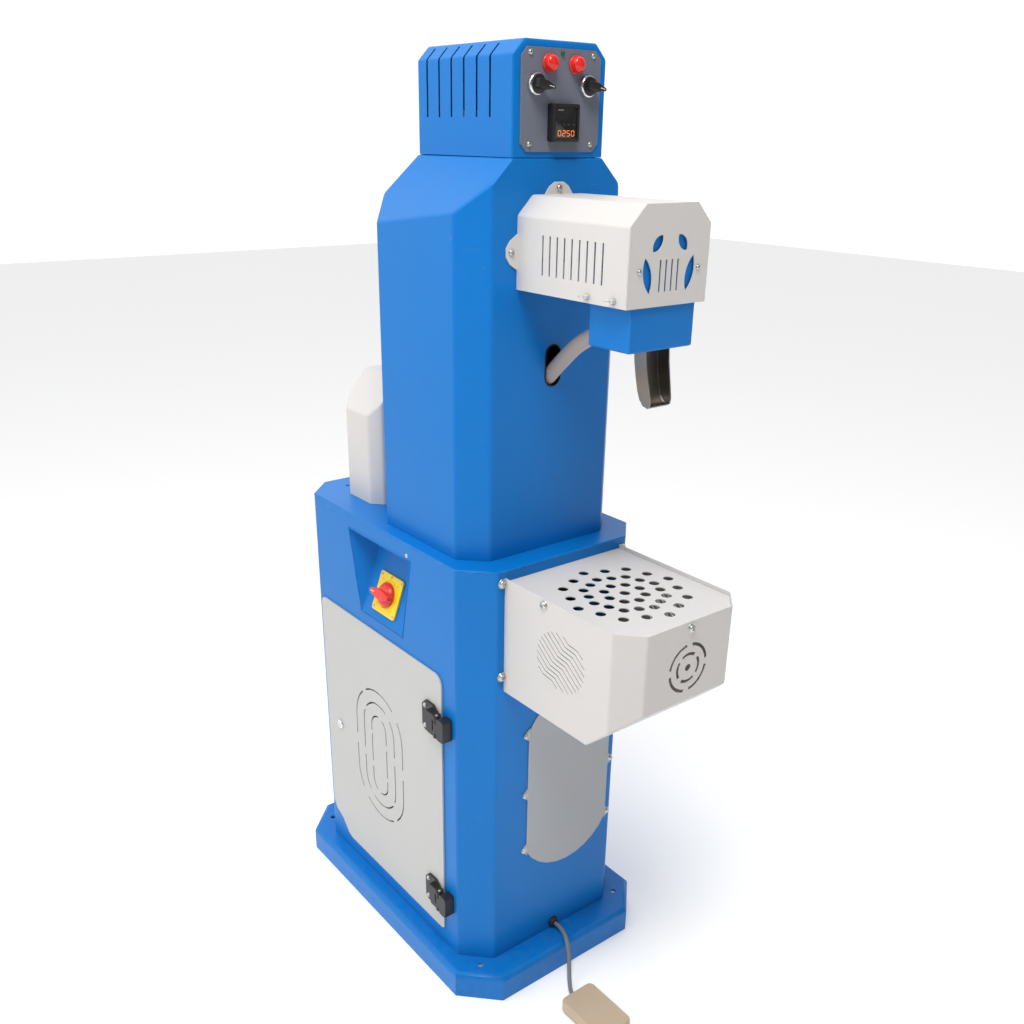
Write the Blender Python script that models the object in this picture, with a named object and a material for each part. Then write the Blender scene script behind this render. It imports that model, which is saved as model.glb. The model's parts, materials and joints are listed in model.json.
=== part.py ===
"""Pedestal hot-air finishing machine for footwear, as separate named sub-parts.

Metres, +Z up. X runs across the machine with the door on the -X side, -Y is the
operator's side, and the origin is the middle of the plinth's underside.
Every shape is drawn in machine coordinates, then moved to its object's own origin.
"""
import math

import bmesh
import bpy
from mathutils import Matrix, Vector

# ---------------------------------------------------------------- driving dimensions
GAP = 0.0003               # clearance between pieces that touch
SHEET = 0.0025             # painted sheet steel
THIN_SHEET = 0.0015        # covers and guards
FOLD = 0.004               # outside radius of a sheet fold

PLINTH_HALF_W = 0.218
PLINTH_HALF_L = 0.333
PLINTH_CUT = 0.063
PLINTH_H = 0.053

CAB_HALF_W = 0.187
CAB_HALF_L = 0.282
CAB_CUT = 0.049
CAB_TOP = 0.837
DECK_T = 0.003

COL_HALF_W = 0.1607
COL_FRONT = -0.237
COL_BACK = 0.053
COL_CUT = 0.0405
COL_TOP = 1.439
COL_TOP_HALF_W = 0.0856
COL_TOP_BACK = 0.0036
COL_FRONT_EAVE = 1.366
COL_BACK_EAVE = 1.340

CONTROL_HALF_W = 0.0856
CONTROL_FRONT = -0.235
CONTROL_BACK = 0.001
CONTROL_TOP = 1.590
CONTROL_CUT = 0.020

ARM_HALF_W = 0.0754
ARM_FRONT = -0.469
ARM_BOTTOM = 1.2594
ARM_TOP = 1.3902
ARM_CUT = 0.0273

BOX_HALF_W = 0.1246
BOX_FRONT = -0.5654
BOX_CUT = 0.0358
BOX_RIM = 0.8246
BOX_BOTTOM = 0.619
BOX_FLAT = -0.4857         # where the box's floor starts to rise
BOX_FRONT_BOTTOM = 0.692
BOX_REST = 0.8162          # ledges that the perforated top rests on

DOOR_T = 0.003
DOOR_X = -CAB_HALF_W - GAP - DOOR_T
DOOR_FRONT = -0.1944
DOOR_BACK = 0.2213
DOOR_BOTTOM = 0.0874
DOOR_TOP = 0.6278
HINGE_X = -CAB_HALF_W - 0.0135
HINGE_Y = DOOR_FRONT - 0.0006
HINGE_HEIGHTS = {"upper": 0.537, "lower": 0.1623}
LOCK_Y = 0.1702
LOCK_Z = 0.359

VENT_Y = 0.0198
VENT_Z = 0.360

POCKET_BOTTOM = 0.6529
POCKET_TOP = 0.8054
POCKET_NARROW = 0.0684
POCKET_WIDE = 0.1009
POCKET_DEPTH = 0.0558
ISOLATOR_Z = 0.7035
ISOLATOR_SIDE = 0.0744

FAN_Z = 0.748
SLOT_Z = 1.139             # hose slot in the column's front
GROMMET_X = 0.0035
GROMMET_Z = 0.0668
BOLT_X = 0.168
BOLT_Y = 0.280

BLOCK_HALF_W = 0.0614
BLOCK_FRONT = -0.465
BLOCK_BACK = -0.3822
BLOCK_BOTTOM = 1.1988
BLOCK_TOP = 1.355

PANEL_HALF_W = 0.073
PANEL_BOTTOM = 1.4467
PANEL_TOP = 1.580
PANEL_T = 0.002
LAMP_X = 0.0243
LAMP_Z = 1.5605
SELECTOR_X = 0.0474
SELECTOR_Z = 1.5335
CONTROLLER_SIDE = 0.0495
CONTROLLER_FACE = 0.0135    # how far it stands out of the panel
CONTROLLER_Z = 1.485

REAR_HALF_W = 0.133        # blower cover on the deck
REAR_FRONT = 0.0958
REAR_BACK = 0.210
REAR_CUT = 0.0195
REAR_EAVE = 1.004
REAR_TOP = 1.0695
REAR_TOP_HALF_W = 0.0772
BLOWER_Z = 0.925

PEDAL_X = -0.0502
PEDAL_HALF_W = 0.0372
PEDAL_BACK = -0.4139
PEDAL_FRONT = -0.5255
PEDAL_HINGE_Z = 0.0165
CABLE_D = 0.008

# ---------------------------------------------------------------- finishes
FINISHES = {
    "blue_paint": ((0.035, 0.195, 0.62), 0.42, 0.0),
    "cream_paint": ((0.72, 0.69, 0.64), 0.48, 0.0),
    "door_grey": ((0.56, 0.56, 0.53), 0.5, 0.0),
    "cover_grey": ((0.30, 0.32, 0.34), 0.5, 0.0),
    "panel_grey": ((0.15, 0.16, 0.19), 0.55, 0.0),
    "black_plastic": ((0.012, 0.012, 0.014), 0.45, 0.0),
    "red_plastic": ((0.70, 0.03, 0.02), 0.35, 0.0),
    "yellow_plastic": ((0.85, 0.62, 0.02), 0.4, 0.0),
    "red_lens": ((0.62, 0.01, 0.01), 0.15, 0.0),
    "green_lens": ((0.01, 0.10, 0.05), 0.25, 0.0),
    "chrome": ((0.75, 0.75, 0.76), 0.15, 1.0),
    "steel": ((0.42, 0.41, 0.40), 0.35, 1.0),
    "cast_metal": ((0.30, 0.31, 0.32), 0.5, 1.0),
    "ceramic": ((0.70, 0.64, 0.55), 0.7, 0.0),
    "hose_rubber": ((0.34, 0.28, 0.24), 0.6, 0.0),
    "cable_grey": ((0.17, 0.18, 0.19), 0.6, 0.0),
    "pedal_tan": ((0.52, 0.40, 0.27), 0.5, 0.0),
    "black_rubber": ((0.015, 0.015, 0.015), 0.7, 0.0),
    "board_plastic": ((0.45, 0.45, 0.42), 0.5, 0.0),
}
MATERIALS = {}
GROUPS = {}


def clear_scene():
    for item in list(bpy.data.objects):
        bpy.data.objects.remove(item, do_unlink=True)


def make_finishes():
    for name, (colour, roughness, metallic) in FINISHES.items():
        finish = bpy.data.materials.new(name)
        finish.use_nodes = True
        shader = finish.node_tree.nodes["Principled BSDF"]
        shader.inputs["Base Color"].default_value = (*colour, 1.0)
        shader.inputs["Roughness"].default_value = roughness
        shader.inputs["Metallic"].default_value = metallic
        MATERIALS[name] = finish


def make_group(name, place):
    empty = bpy.data.objects.new(name, None)
    empty.location = place
    bpy.context.scene.collection.objects.link(empty)
    GROUPS[name] = empty


# ---------------------------------------------------------------- outlines
AXES = {"x": (1, 2, 0), "y": (0, 2, 1), "z": (0, 1, 2)}


def arc(centre, radius, start, end, steps):
    """Points on an arc, angles in degrees, both ends included."""
    points = []
    for step in range(steps + 1):
        angle = math.radians(start + (end - start) * step / steps)
        points.append((centre[0] + radius * math.cos(angle), centre[1] + radius * math.sin(angle)))
    return points


def circle(centre, radius, sides=24):
    return arc(centre, radius, 0, 360, sides)[:-1]


def rectangle(low, high):
    return [low, (high[0], low[1]), high, (low[0], high[1])]


def ear(edge, tip, height, radius, spread, reach, steps=4):
    """A fixing ear that leaves an upright edge and ends in an arc about its screw."""
    outwards = 0 if tip > edge else 180
    swing = spread if tip > edge else -spread
    return ([(edge, height - reach)]
            + arc((tip, height), radius, outwards - swing, outwards + swing, steps)
            + [(edge, height + reach)])


def lens(centre, half_length, half_width, lean):
    """Two arcs that meet in points, leaning by an angle in degrees."""
    radius = (half_length ** 2 + half_width ** 2) / (2 * half_width)
    spread = math.degrees(math.asin(half_length / radius))
    shift = radius - half_width
    points = arc((-shift, 0), radius, -spread, spread, 8)[:-1]
    points += arc((shift, 0), radius, 180 - spread, 180 + spread, 8)[:-1]
    turn = Matrix.Rotation(math.radians(lean), 2)
    return [tuple(Vector(centre) + turn @ Vector(point)) for point in points]


def rounded(low, high, radius, steps=4):
    inner_low = (low[0] + radius, low[1] + radius)
    inner_high = (high[0] - radius, high[1] - radius)
    return (arc(inner_high, radius, 0, 90, steps)
            + arc((inner_low[0], inner_high[1]), radius, 90, 180, steps)
            + arc(inner_low, radius, 180, 270, steps)
            + arc((inner_high[0], inner_low[1]), radius, 270, 360, steps))


def octagon(half_width, front, back, cut):
    return [(-half_width, front + cut), (-half_width + cut, front),
            (half_width - cut, front), (half_width, front + cut),
            (half_width, back - cut), (half_width - cut, back),
            (-half_width + cut, back), (-half_width, back - cut)]


def band(path, width):
    """Outline of a strip of one width that follows a path of points."""
    left = []
    right = []
    for index, point in enumerate(path):
        before = Vector(path[max(index - 1, 0)])
        after = Vector(path[min(index + 1, len(path) - 1)])
        along = (after - before).normalized()
        side = Vector((-along.y, along.x)) * width / 2
        left.append(tuple(Vector(point) + side))
        right.append(tuple(Vector(point) - side))
    return left + right[::-1]


def stadium_stretch(centre, half_w, half_h, start, end, steps=48):
    """Part of an upright stadium ring; start and end are fractions of its length."""
    straight = 2 * (half_h - half_w)
    turn = math.pi * half_w
    total = 2 * (straight + turn)
    path = []
    count = max(2, round((end - start) * steps))
    for step in range(count + 1):
        run = (start + (end - start) * step / count) % 1.0 * total
        if run < straight:
            place = (half_w, -straight / 2 + run)
        elif run < straight + turn:
            angle = (run - straight) / half_w
            place = (half_w * math.cos(angle), straight / 2 + half_w * math.sin(angle))
        elif run < 2 * straight + turn:
            place = (-half_w, straight / 2 - (run - straight - turn))
        else:
            angle = (run - 2 * straight - turn) / half_w
            place = (-half_w * math.cos(angle), -straight / 2 - half_w * math.sin(angle))
        path.append((centre[0] + place[0], centre[1] + place[1]))
    return path


# ---------------------------------------------------------------- solids
def prism(points, axis, low, high, bm=None):
    """Extrude an outline along an axis; the outline's two numbers are the other axes."""
    first, second, along = AXES[axis]
    bm = bm or bmesh.new()
    ring = []
    for u, v in points:
        place = [0.0, 0.0, 0.0]
        place[first] = u
        place[second] = v
        place[along] = low
        ring.append(bm.verts.new(place))
    base = bm.faces.new(ring)
    grown = bmesh.ops.extrude_face_region(bm, geom=[base])
    step = [0.0, 0.0, 0.0]
    step[along] = high - low
    tops = [item for item in grown["geom"] if isinstance(item, bmesh.types.BMVert)]
    bmesh.ops.translate(bm, vec=step, verts=tops)
    return bm


def block(low, high, bm=None):
    return prism(rectangle(low[:2], high[:2]), "z", low[2], high[2], bm)


def turned(profile, base, direction, sides=24):
    """Spin a profile of (radius, distance) about an axis through base."""
    bm = bmesh.new()
    line = [bm.verts.new((radius, 0.0, along)) for radius, along in profile]
    edges = [bm.edges.new(pair) for pair in zip(line, line[1:])]
    bmesh.ops.spin(bm, geom=line + edges, cent=(0, 0, 0), axis=(0, 0, 1), dvec=(0, 0, 0),
                   angle=math.tau, steps=sides, use_merge=True, use_duplicate=False)
    bmesh.ops.remove_doubles(bm, verts=bm.verts, dist=0.00002)
    turn = Vector((0, 0, 1)).rotation_difference(Vector(direction)).to_matrix().to_4x4()
    bmesh.ops.transform(bm, matrix=Matrix.Translation(base) @ turn, verts=bm.verts)
    return bm


def bevel_edges(bm, width, segments, keep):
    edges = [edge for edge in bm.edges if keep(edge)]
    bmesh.ops.bevel(bm, geom=edges, offset=width, offset_type="OFFSET", segments=segments,
                    profile=0.5, affect="EDGES", material=-1, clamp_overlap=True)
    return bm


def soften_folds(bm, width=FOLD, segments=2):
    """Round the folds of an open sheet, before it gets its thickness."""
    def folded(edge):
        return len(edge.link_faces) == 2 and edge.calc_face_angle(0.0) > math.radians(12)
    bmesh.ops.recalc_face_normals(bm, faces=bm.faces)
    return bevel_edges(bm, width, segments, folded)


def faces_from(corners, rings):
    bm = bmesh.new()
    verts = [bm.verts.new(corner) for corner in corners]
    for ring in rings:
        bm.faces.new([verts[index] for index in ring])
    return bm


def finish(bm, name, look, group, origin=(0, 0, 0), smooth=35):
    bmesh.ops.recalc_face_normals(bm, faces=bm.faces)
    bmesh.ops.translate(bm, vec=-Vector(origin), verts=bm.verts)
    mesh = bpy.data.meshes.new(name)
    bm.to_mesh(mesh)
    bm.free()
    mesh.shade_smooth()
    mesh.set_sharp_from_angle(angle=math.radians(smooth))
    mesh.materials.append(MATERIALS[look])
    obj = bpy.data.objects.new(name, mesh)
    bpy.context.scene.collection.objects.link(obj)
    obj.parent = GROUPS[group]
    obj.location = Vector(origin) - GROUPS[group].location
    return obj


def thicken(obj, thickness, offset=-1.0):
    wall = obj.modifiers.new("wall", "SOLIDIFY")
    wall.thickness = thickness
    wall.offset = offset
    wall.use_even_offset = True
    return obj


def combine(obj, bm, operation):
    """Boolean a helper shape, drawn in machine coordinates, with an object."""
    bmesh.ops.recalc_face_normals(bm, faces=bm.faces)
    mesh = bpy.data.meshes.new(f"{obj.name}_helper")
    bm.to_mesh(mesh)
    bm.free()
    helper = bpy.data.objects.new(mesh.name, mesh)
    bpy.context.scene.collection.objects.link(helper)
    helper.hide_render = True
    helper.display_type = "WIRE"
    step = obj.modifiers.new(operation.lower(), "BOOLEAN")
    step.operation = operation
    step.object = helper
    step.solver = "EXACT"
    return obj


def cut(obj, bm):
    return combine(obj, bm, "DIFFERENCE")


def weld(obj, bm):
    return combine(obj, bm, "UNION")


def hollow_pipe(name, look, group, route, radius, wall, facets=3):
    """A hose or duct along a smooth curve through the route's points."""
    curve = bpy.data.curves.new(name, "CURVE")
    curve.dimensions = "3D"
    curve.bevel_depth = radius
    curve.bevel_resolution = facets
    curve.use_fill_caps = wall is None
    points = smooth_route(route, radius)
    spline = curve.splines.new("POLY")
    spline.points.add(len(points) - 1)
    for slot, point in zip(spline.points, points):
        slot.co = (*(point - Vector(points[0])), 1.0)
    curve.materials.append(MATERIALS[look])
    obj = bpy.data.objects.new(name, curve)
    bpy.context.scene.collection.objects.link(obj)
    obj.parent = GROUPS[group]
    obj.location = Vector(points[0]) - GROUPS[group].location
    if wall is not None:
        thicken(obj, wall)
    return obj


def smooth_route(route, radius):
    """Points every few radii on a smooth curve through the route, with square ends."""
    places = [Vector(place) for place in route]
    padded = [2 * places[0] - places[1]] + places + [2 * places[-1] - places[-2]]
    fine = []
    for index in range(len(places) - 1):
        a, b, c, d = padded[index:index + 4]
        for step in range(12):
            t = step / 12
            fine.append(0.5 * (2 * b + (c - a) * t + (2 * a - 5 * b + 4 * c - d) * t * t
                               + (3 * b - a - 3 * c + d) * t ** 3))
    fine.append(places[-1])
    length = sum((q - p).length for p, q in zip(fine, fine[1:]))
    count = max(3, math.ceil(length / (2.5 * radius)))
    points = []
    walked = 0.0
    for p, q in zip(fine, fine[1:]):
        walked += (q - p).length
        if walked >= length * (len(points) + 1) / count and len(points) < count - 1:
            points.append(q)
    first = places[0] + (places[1] - places[0]).normalized() * radius * 0.5
    last = places[-1] + (places[-2] - places[-1]).normalized() * radius * 0.5
    return [places[0], first] + points + [last, places[-1]]


def open_tube(outline, low, high):
    """Upright walls on a closed outline, with no floor and no lid."""
    count = len(outline)
    corners = [(x, y, low) for x, y in outline] + [(x, y, high) for x, y in outline]
    rings = []
    for index in range(count):
        after = (index + 1) % count
        rings.append((index, after, count + after, count + index))
    return faces_from(corners, rings)


def drop_faces(bm, unwanted):
    """Open a folded box: remove the faces whose normals point along given axes."""
    bmesh.ops.recalc_face_normals(bm, faces=bm.faces)
    doomed = [face for face in bm.faces
              if any(face.normal.dot(Vector(way)) > 0.99 for way in unwanted)]
    bmesh.ops.delete(bm, geom=doomed, context="FACES_ONLY")
    return bm


def gabled_shell(plan, low, eaves, corners, top, top_half, top_span):
    """Octagonal column whose sides slope in to a narrower flat top; open below."""
    heights = [eaves[0], corners[0], corners[0], eaves[0], eaves[1], corners[1], corners[1], eaves[1]]
    points = [(x, y, low) for x, y in plan]
    points += [(x, y, z) for (x, y), z in zip(plan, heights)]
    front, back = top_span
    points += [(-top_half, front, top), (top_half, front, top),
               (top_half, back, top), (-top_half, back, top)]
    rings = [(index, (index + 1) % 8, 8 + (index + 1) % 8, 8 + index) for index in range(8) if index != 1]
    rings += [(1, 2, 10, 17, 16, 9), (16, 19, 14, 15, 8, 9), (17, 10, 11, 12, 13, 18),
              (19, 18, 13, 14), (16, 17, 18, 19)]
    return faces_from(points, rings)


# ---------------------------------------------------------------- base and cabinet
def make_plinth():
    bm = prism(octagon(PLINTH_HALF_W, -PLINTH_HALF_L, PLINTH_HALF_L, PLINTH_CUT), "z", 0, PLINTH_H)
    bevel_edges(bm, 0.010, 3, lambda edge: min(v.co.z for v in edge.verts) > PLINTH_H - 1e-6)
    plinth = finish(bm, "plinth", "blue_paint", "base")
    wall = 0.004
    inside = octagon(PLINTH_HALF_W - wall, -PLINTH_HALF_L + wall, PLINTH_HALF_L - wall,
                     PLINTH_CUT - wall / 2)
    cut(plinth, prism(inside, "z", -0.01, PLINTH_H - wall))
    bar_end = PLINTH_HALF_W - wall / 2
    weld(plinth, block((-bar_end, -0.030, 0), (bar_end, 0.030, 0.006)))
    holes = bmesh.new()
    for x in (-BOLT_X, BOLT_X):
        for y in (-BOLT_Y, BOLT_Y):
            prism(circle((x, y), 0.0055, 12), "z", 0.02, PLINTH_H + 0.01, holes)
    cut(plinth, holes)


def pocket_window(grow):
    bottom = POCKET_BOTTOM - grow
    top = POCKET_TOP + grow
    return [(POCKET_WIDE + grow, top), (POCKET_NARROW + grow, bottom),
            (-POCKET_NARROW - grow, bottom), (-POCKET_WIDE - grow, top)]


def make_cabinet():
    plan = octagon(CAB_HALF_W, -CAB_HALF_L, CAB_HALF_L, CAB_CUT)
    bm = soften_folds(open_tube(plan, PLINTH_H + GAP, CAB_TOP - DECK_T - GAP))
    shell = thicken(finish(bm, "cabinet_shell", "blue_paint", "cabinet"), SHEET)
    outside = CAB_HALF_W + 0.02
    inside = CAB_HALF_W - 0.01
    doorway = [(-0.180, 0.105), (0.135, 0.105), (0.168, 0.138), (0.2005, 0.160),
               (0.2005, 0.612), (-0.180, 0.612)]
    sides = prism(doorway, "x", -outside, -inside)
    prism(pocket_window(0.0023), "x", -outside, -inside, sides)
    cut(shell, sides)
    reach = CAB_HALF_L + 0.02
    depth = CAB_HALF_L - 0.01
    front = prism(circle((GROMMET_X, GROMMET_Z), 0.0078, 16), "y", -reach, -depth)
    prism(rectangle((-0.050, 0.285), (0.108, 0.505)), "y", -reach, -depth, front)
    prism(circle((0, FAN_Z), 0.042, 32), "y", -reach, -depth, front)
    for x in (-0.08, 0.08):
        prism(circle((x, 0.690), 0.005, 12), "y", -reach, -depth, front)
    cut(shell, front)
    back = prism(rectangle((-0.115, 0.310), (0.115, 0.780)), "y", depth, reach)
    prism(circle((-0.100, 0.130), 0.0083, 16), "y", depth, reach, back)
    cut(shell, back)

    bm = prism(plan, "z", CAB_TOP - DECK_T, CAB_TOP)
    bevel_edges(bm, 0.0015, 1, lambda edge: min(v.co.z for v in edge.verts) > CAB_TOP - 1e-6)
    deck = finish(bm, "cabinet_top", "blue_paint", "cabinet")
    under = octagon(COL_HALF_W - 0.02, COL_FRONT + 0.02, COL_BACK - 0.02, COL_CUT - 0.01)
    holes = prism(under, "z", CAB_TOP - 0.02, CAB_TOP + 0.02)
    prism(circle((-0.112, 0.236), 0.004, 12), "z", CAB_TOP - 0.02, CAB_TOP + 0.02, holes)
    cut(deck, holes)

    wall_back = CAB_HALF_L + GAP
    bm = prism(rounded((-0.130, 0.295), (0.130, 0.795), 0.010), "y", wall_back, wall_back + THIN_SHEET)
    panel = finish(bm, "cabinet_rear_panel", "cream_paint", "cabinet")
    slots = bmesh.new()
    for row in range(7):
        height = 0.40 + 0.022 * row
        slot = rectangle((-0.08, height), (0.08, height + 0.006))
        prism(slot, "y", wall_back - 0.01, wall_back + 0.01, slots)
    cut(panel, slots)


def make_service_plate():
    """Removable front plate under the box: round ends and three ears a side."""
    middle = 0.0293
    half = 0.0967
    foot = 0.265
    head = 0.5208
    sag = 0.0586
    radius = (half ** 2 + sag ** 2) / (2 * sag)
    spread = math.degrees(math.asin(half / radius))
    near = -CAB_HALF_L - GAP
    outline = arc((middle, foot - sag + radius), radius, 270 - spread, 270 + spread, 10)
    outline += arc((middle, head + sag - radius), radius, 90 - spread, 90 + spread, 10)
    plate = finish(prism(outline, "y", near - THIN_SHEET, near), "service_plate", "cover_grey", "cabinet")
    ears = bmesh.new()
    for side in (-1, 1):
        edge = middle + side * (half - 0.002)
        for height in (0.2706, 0.3906, 0.5143):
            tip = middle + side * (half + 0.0058)
            prism(ear(edge, tip, height, 0.0058, 60, 0.014), "y", near - THIN_SHEET, near, ears)
    weld(plate, ears)


# ---------------------------------------------------------------- door, hinges and lock
def door_outline():
    outline = arc((DOOR_BACK - 0.012, DOOR_TOP - 0.012), 0.012, 0, 90, 3)
    outline += arc((DOOR_FRONT + 0.021, DOOR_TOP - 0.021), 0.021, 90, 180, 5)
    outline += arc((DOOR_FRONT + 0.008, DOOR_BOTTOM + 0.008), 0.008, 180, 270, 3)
    outline += [(DOOR_BACK - 0.0725, DOOR_BOTTOM), (DOOR_BACK - 0.058, DOOR_BOTTOM + 0.006),
                (DOOR_BACK - 0.036, DOOR_BOTTOM + 0.030), (DOOR_BACK - 0.010, DOOR_BOTTOM + 0.043),
                (DOOR_BACK, DOOR_BOTTOM + 0.060)]
    return outline


def make_door():
    hinge = (HINGE_X, HINGE_Y, 0)
    bm = prism(door_outline(), "x", DOOR_X, DOOR_X + DOOR_T)
    door = finish(bm, "door", "door_grey", "door_hinge_line", origin=hinge)
    slots = bmesh.new()
    for ring in range(3):
        half_w = 0.0828 - 0.0285 * ring
        half_h = 0.1404 - 0.0270 * ring
        for turn in (0.0, 0.5):
            for start, end in ((0.092, 0.245), (0.265, 0.40), (0.43, 0.562)):
                path = stadium_stretch((VENT_Y, VENT_Z), half_w, half_h, turn + start, turn + end)
                prism(band(path, 0.0032), "x", DOOR_X - 0.01, DOOR_X + 0.01, slots)
    cut(door, slots)
    cut(door, prism(circle((LOCK_Y, LOCK_Z), 0.0083, 16), "x", DOOR_X - 0.01, DOOR_X + 0.01))

    lock = (DOOR_X, LOCK_Y, LOCK_Z)
    barrel = [(0.0056, -0.0060), (0.0080, -0.0060), (0.0080, 0.0003), (0.0095, 0.0003),
              (0.0095, 0.0025), (0.0085, 0.0035), (0.0056, 0.0035), (0.0056, -0.0060)]
    finish(turned(barrel, lock, (-1, 0, 0), 20), "door_lock_body", "chrome", "door_hinge_line",
           origin=lock)
    core = [(0, -0.0090), (0.0053, -0.0090), (0.0053, 0.0030), (0, 0.0030)]
    turning = finish(turned(core, lock, (-1, 0, 0), 16), "door_lock_core", "chrome", "door_hinge_line",
                     origin=lock)
    cam_x = DOOR_X + 0.0066
    weld(turning, block((cam_x, LOCK_Y - 0.006, LOCK_Z - 0.007),
                        (cam_x + 0.002, LOCK_Y + 0.006, LOCK_Z + 0.045)))
    cut(turning, block((DOOR_X - 0.0035, LOCK_Y - 0.0008, LOCK_Z - 0.0035),
                       (DOOR_X - 0.0015, LOCK_Y + 0.0008, LOCK_Z + 0.0035)))


def make_hinge(prefix, height):
    pin_r = 0.0025
    bore_r = pin_r + GAP
    knuckle_r = 0.0065
    half = 0.021
    split = 0.0105
    wall = -CAB_HALF_W - GAP
    outer = HINGE_X - knuckle_r

    def barrel(low, high):
        return prism(circle((HINGE_X, HINGE_Y), knuckle_r, 20), "z", low, high)

    def bore():
        return prism(circle((HINGE_X, HINGE_Y), bore_r, 12), "z", height - 0.05, height + 0.05)

    frame_edge = HINGE_Y - knuckle_r - 0.0005
    low = (HINGE_Y - 0.0277, height - half)
    bm = prism(rounded(low, (frame_edge, height + half), 0.004, 2), "x", outer, wall)
    frame_half = finish(bm, f"{prefix}_hinge_frame_half", "black_plastic", "cabinet")
    weld(frame_half, block((outer, frame_edge - 0.002, height - split),
                           (outer + 0.013, HINGE_Y, height + split)))
    weld(frame_half, barrel(height - split, height + split))
    cut(frame_half, bore())

    skin = DOOR_X - GAP
    leaf = [(HINGE_Y + 0.0085, height - 0.030), (-0.150, height - 0.030), (-0.1414, height - 0.022),
            (-0.1414, height + 0.020), (-0.151, height + 0.030), (HINGE_Y + 0.020, height + 0.030),
            (HINGE_Y + 0.0085, height + half)]
    leaf_bm = prism(leaf, "x", skin - 0.0045, skin)
    door_half = finish(leaf_bm, f"{prefix}_hinge_door_half", "black_plastic", "door_hinge_line",
                       origin=(HINGE_X, HINGE_Y, height))
    raised = [(HINGE_Y + 0.0095, height - half), (-0.172, height - half), (-0.166, height - half + 0.010),
              (-0.166, height + half), (HINGE_Y + 0.0095, height + half)]
    weld(door_half, prism(raised, "x", HINGE_X - 0.0035, skin - 0.001))
    for low_z, high_z in ((height - half, height - split - GAP), (height + split + GAP, height + half)):
        weld(door_half, block((HINGE_X - 0.0035, HINGE_Y, low_z), (skin - 0.001, HINGE_Y + 0.0105, high_z)))
        weld(door_half, barrel(low_z, high_z))
    cut(door_half, bore())

    pin = prism(circle((HINGE_X, HINGE_Y), pin_r, 12), "z", height - half - 0.0015, height + half + 0.0015)
    finish(pin, f"{prefix}_hinge_pin", "steel", "cabinet", origin=(HINGE_X, HINGE_Y, height))


# ---------------------------------------------------------------- isolator in its slanted pocket
def slope_matrix():
    """Frame on the pocket's slanted back: local x leaves it, local z runs up it."""
    rise = POCKET_TOP - POCKET_BOTTOM
    length = math.hypot(rise, POCKET_DEPTH)
    up = Vector((POCKET_DEPTH / length, 0, rise / length))
    out = Vector((-rise / length, 0, POCKET_DEPTH / length))
    across = up.cross(out)
    run = (ISOLATOR_Z - POCKET_BOTTOM) / rise
    place = Vector((-CAB_HALF_W + POCKET_DEPTH * run, 0, ISOLATOR_Z))
    turn = Matrix((out, across, up)).transposed().to_4x4()
    return Matrix.Translation(place) @ turn


def on_slope(bm):
    bmesh.ops.transform(bm, matrix=slope_matrix(), verts=bm.verts)
    return bm


def make_isolator():
    wall_x = -CAB_HALF_W
    inner_x = wall_x + POCKET_DEPTH
    corners = [(wall_x, POCKET_WIDE, POCKET_TOP), (wall_x, POCKET_NARROW, POCKET_BOTTOM),
               (wall_x, -POCKET_NARROW, POCKET_BOTTOM), (wall_x, -POCKET_WIDE, POCKET_TOP),
               (inner_x, POCKET_NARROW, POCKET_TOP), (inner_x, -POCKET_NARROW, POCKET_TOP)]
    bm = faces_from(corners, [(1, 2, 5, 4), (0, 1, 4), (3, 5, 2), (0, 4, 5, 3)])
    pocket = thicken(finish(bm, "isolator_pocket", "blue_paint", "cabinet"), THIN_SHEET, offset=1.0)
    shaft_r = 0.0040
    bore_r = shaft_r + 0.0005
    cut(pocket, on_slope(prism(circle((0, 0), bore_r, 16), "x", -0.01, 0.01)))

    centre = tuple(slope_matrix().translation)
    half = ISOLATOR_SIDE / 2
    bm = on_slope(prism(rounded((-half, -half), (half, half), 0.005, 3), "x", GAP, 0.0045))
    plate = finish(bm, "isolator_plate", "yellow_plastic", "cabinet", origin=centre)
    cut(plate, on_slope(prism(circle((0, 0), bore_r, 16), "x", -0.01, 0.01)))

    back = -THIN_SHEET - 0.0010
    bm = on_slope(block((back - 0.045, -0.027, -0.030), (back, 0.027, 0.030)))
    body = finish(bm, "isolator_body", "black_plastic", "cabinet", origin=centre)
    cut(body, on_slope(prism(circle((0, 0), bore_r, 16), "x", back - 0.016, 0.01)))

    profile = [(0, -0.014), (shaft_r, -0.014), (shaft_r, 0.0050), (0.0225, 0.0050), (0.0225, 0.0080),
               (0.0180, 0.0150), (0.0120, 0.0195), (0, 0.0205)]
    bm = on_slope(turned(profile, (0, 0, 0), (1, 0, 0), 28))
    handle = finish(bm, "isolator_handle", "red_plastic", "cabinet", origin=centre)
    grip = on_slope(prism(rounded((-0.0300, -0.0055), (0.0300, 0.0055), 0.0050, 3), "x", 0.0095, 0.0250))
    weld(handle, grip)


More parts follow.
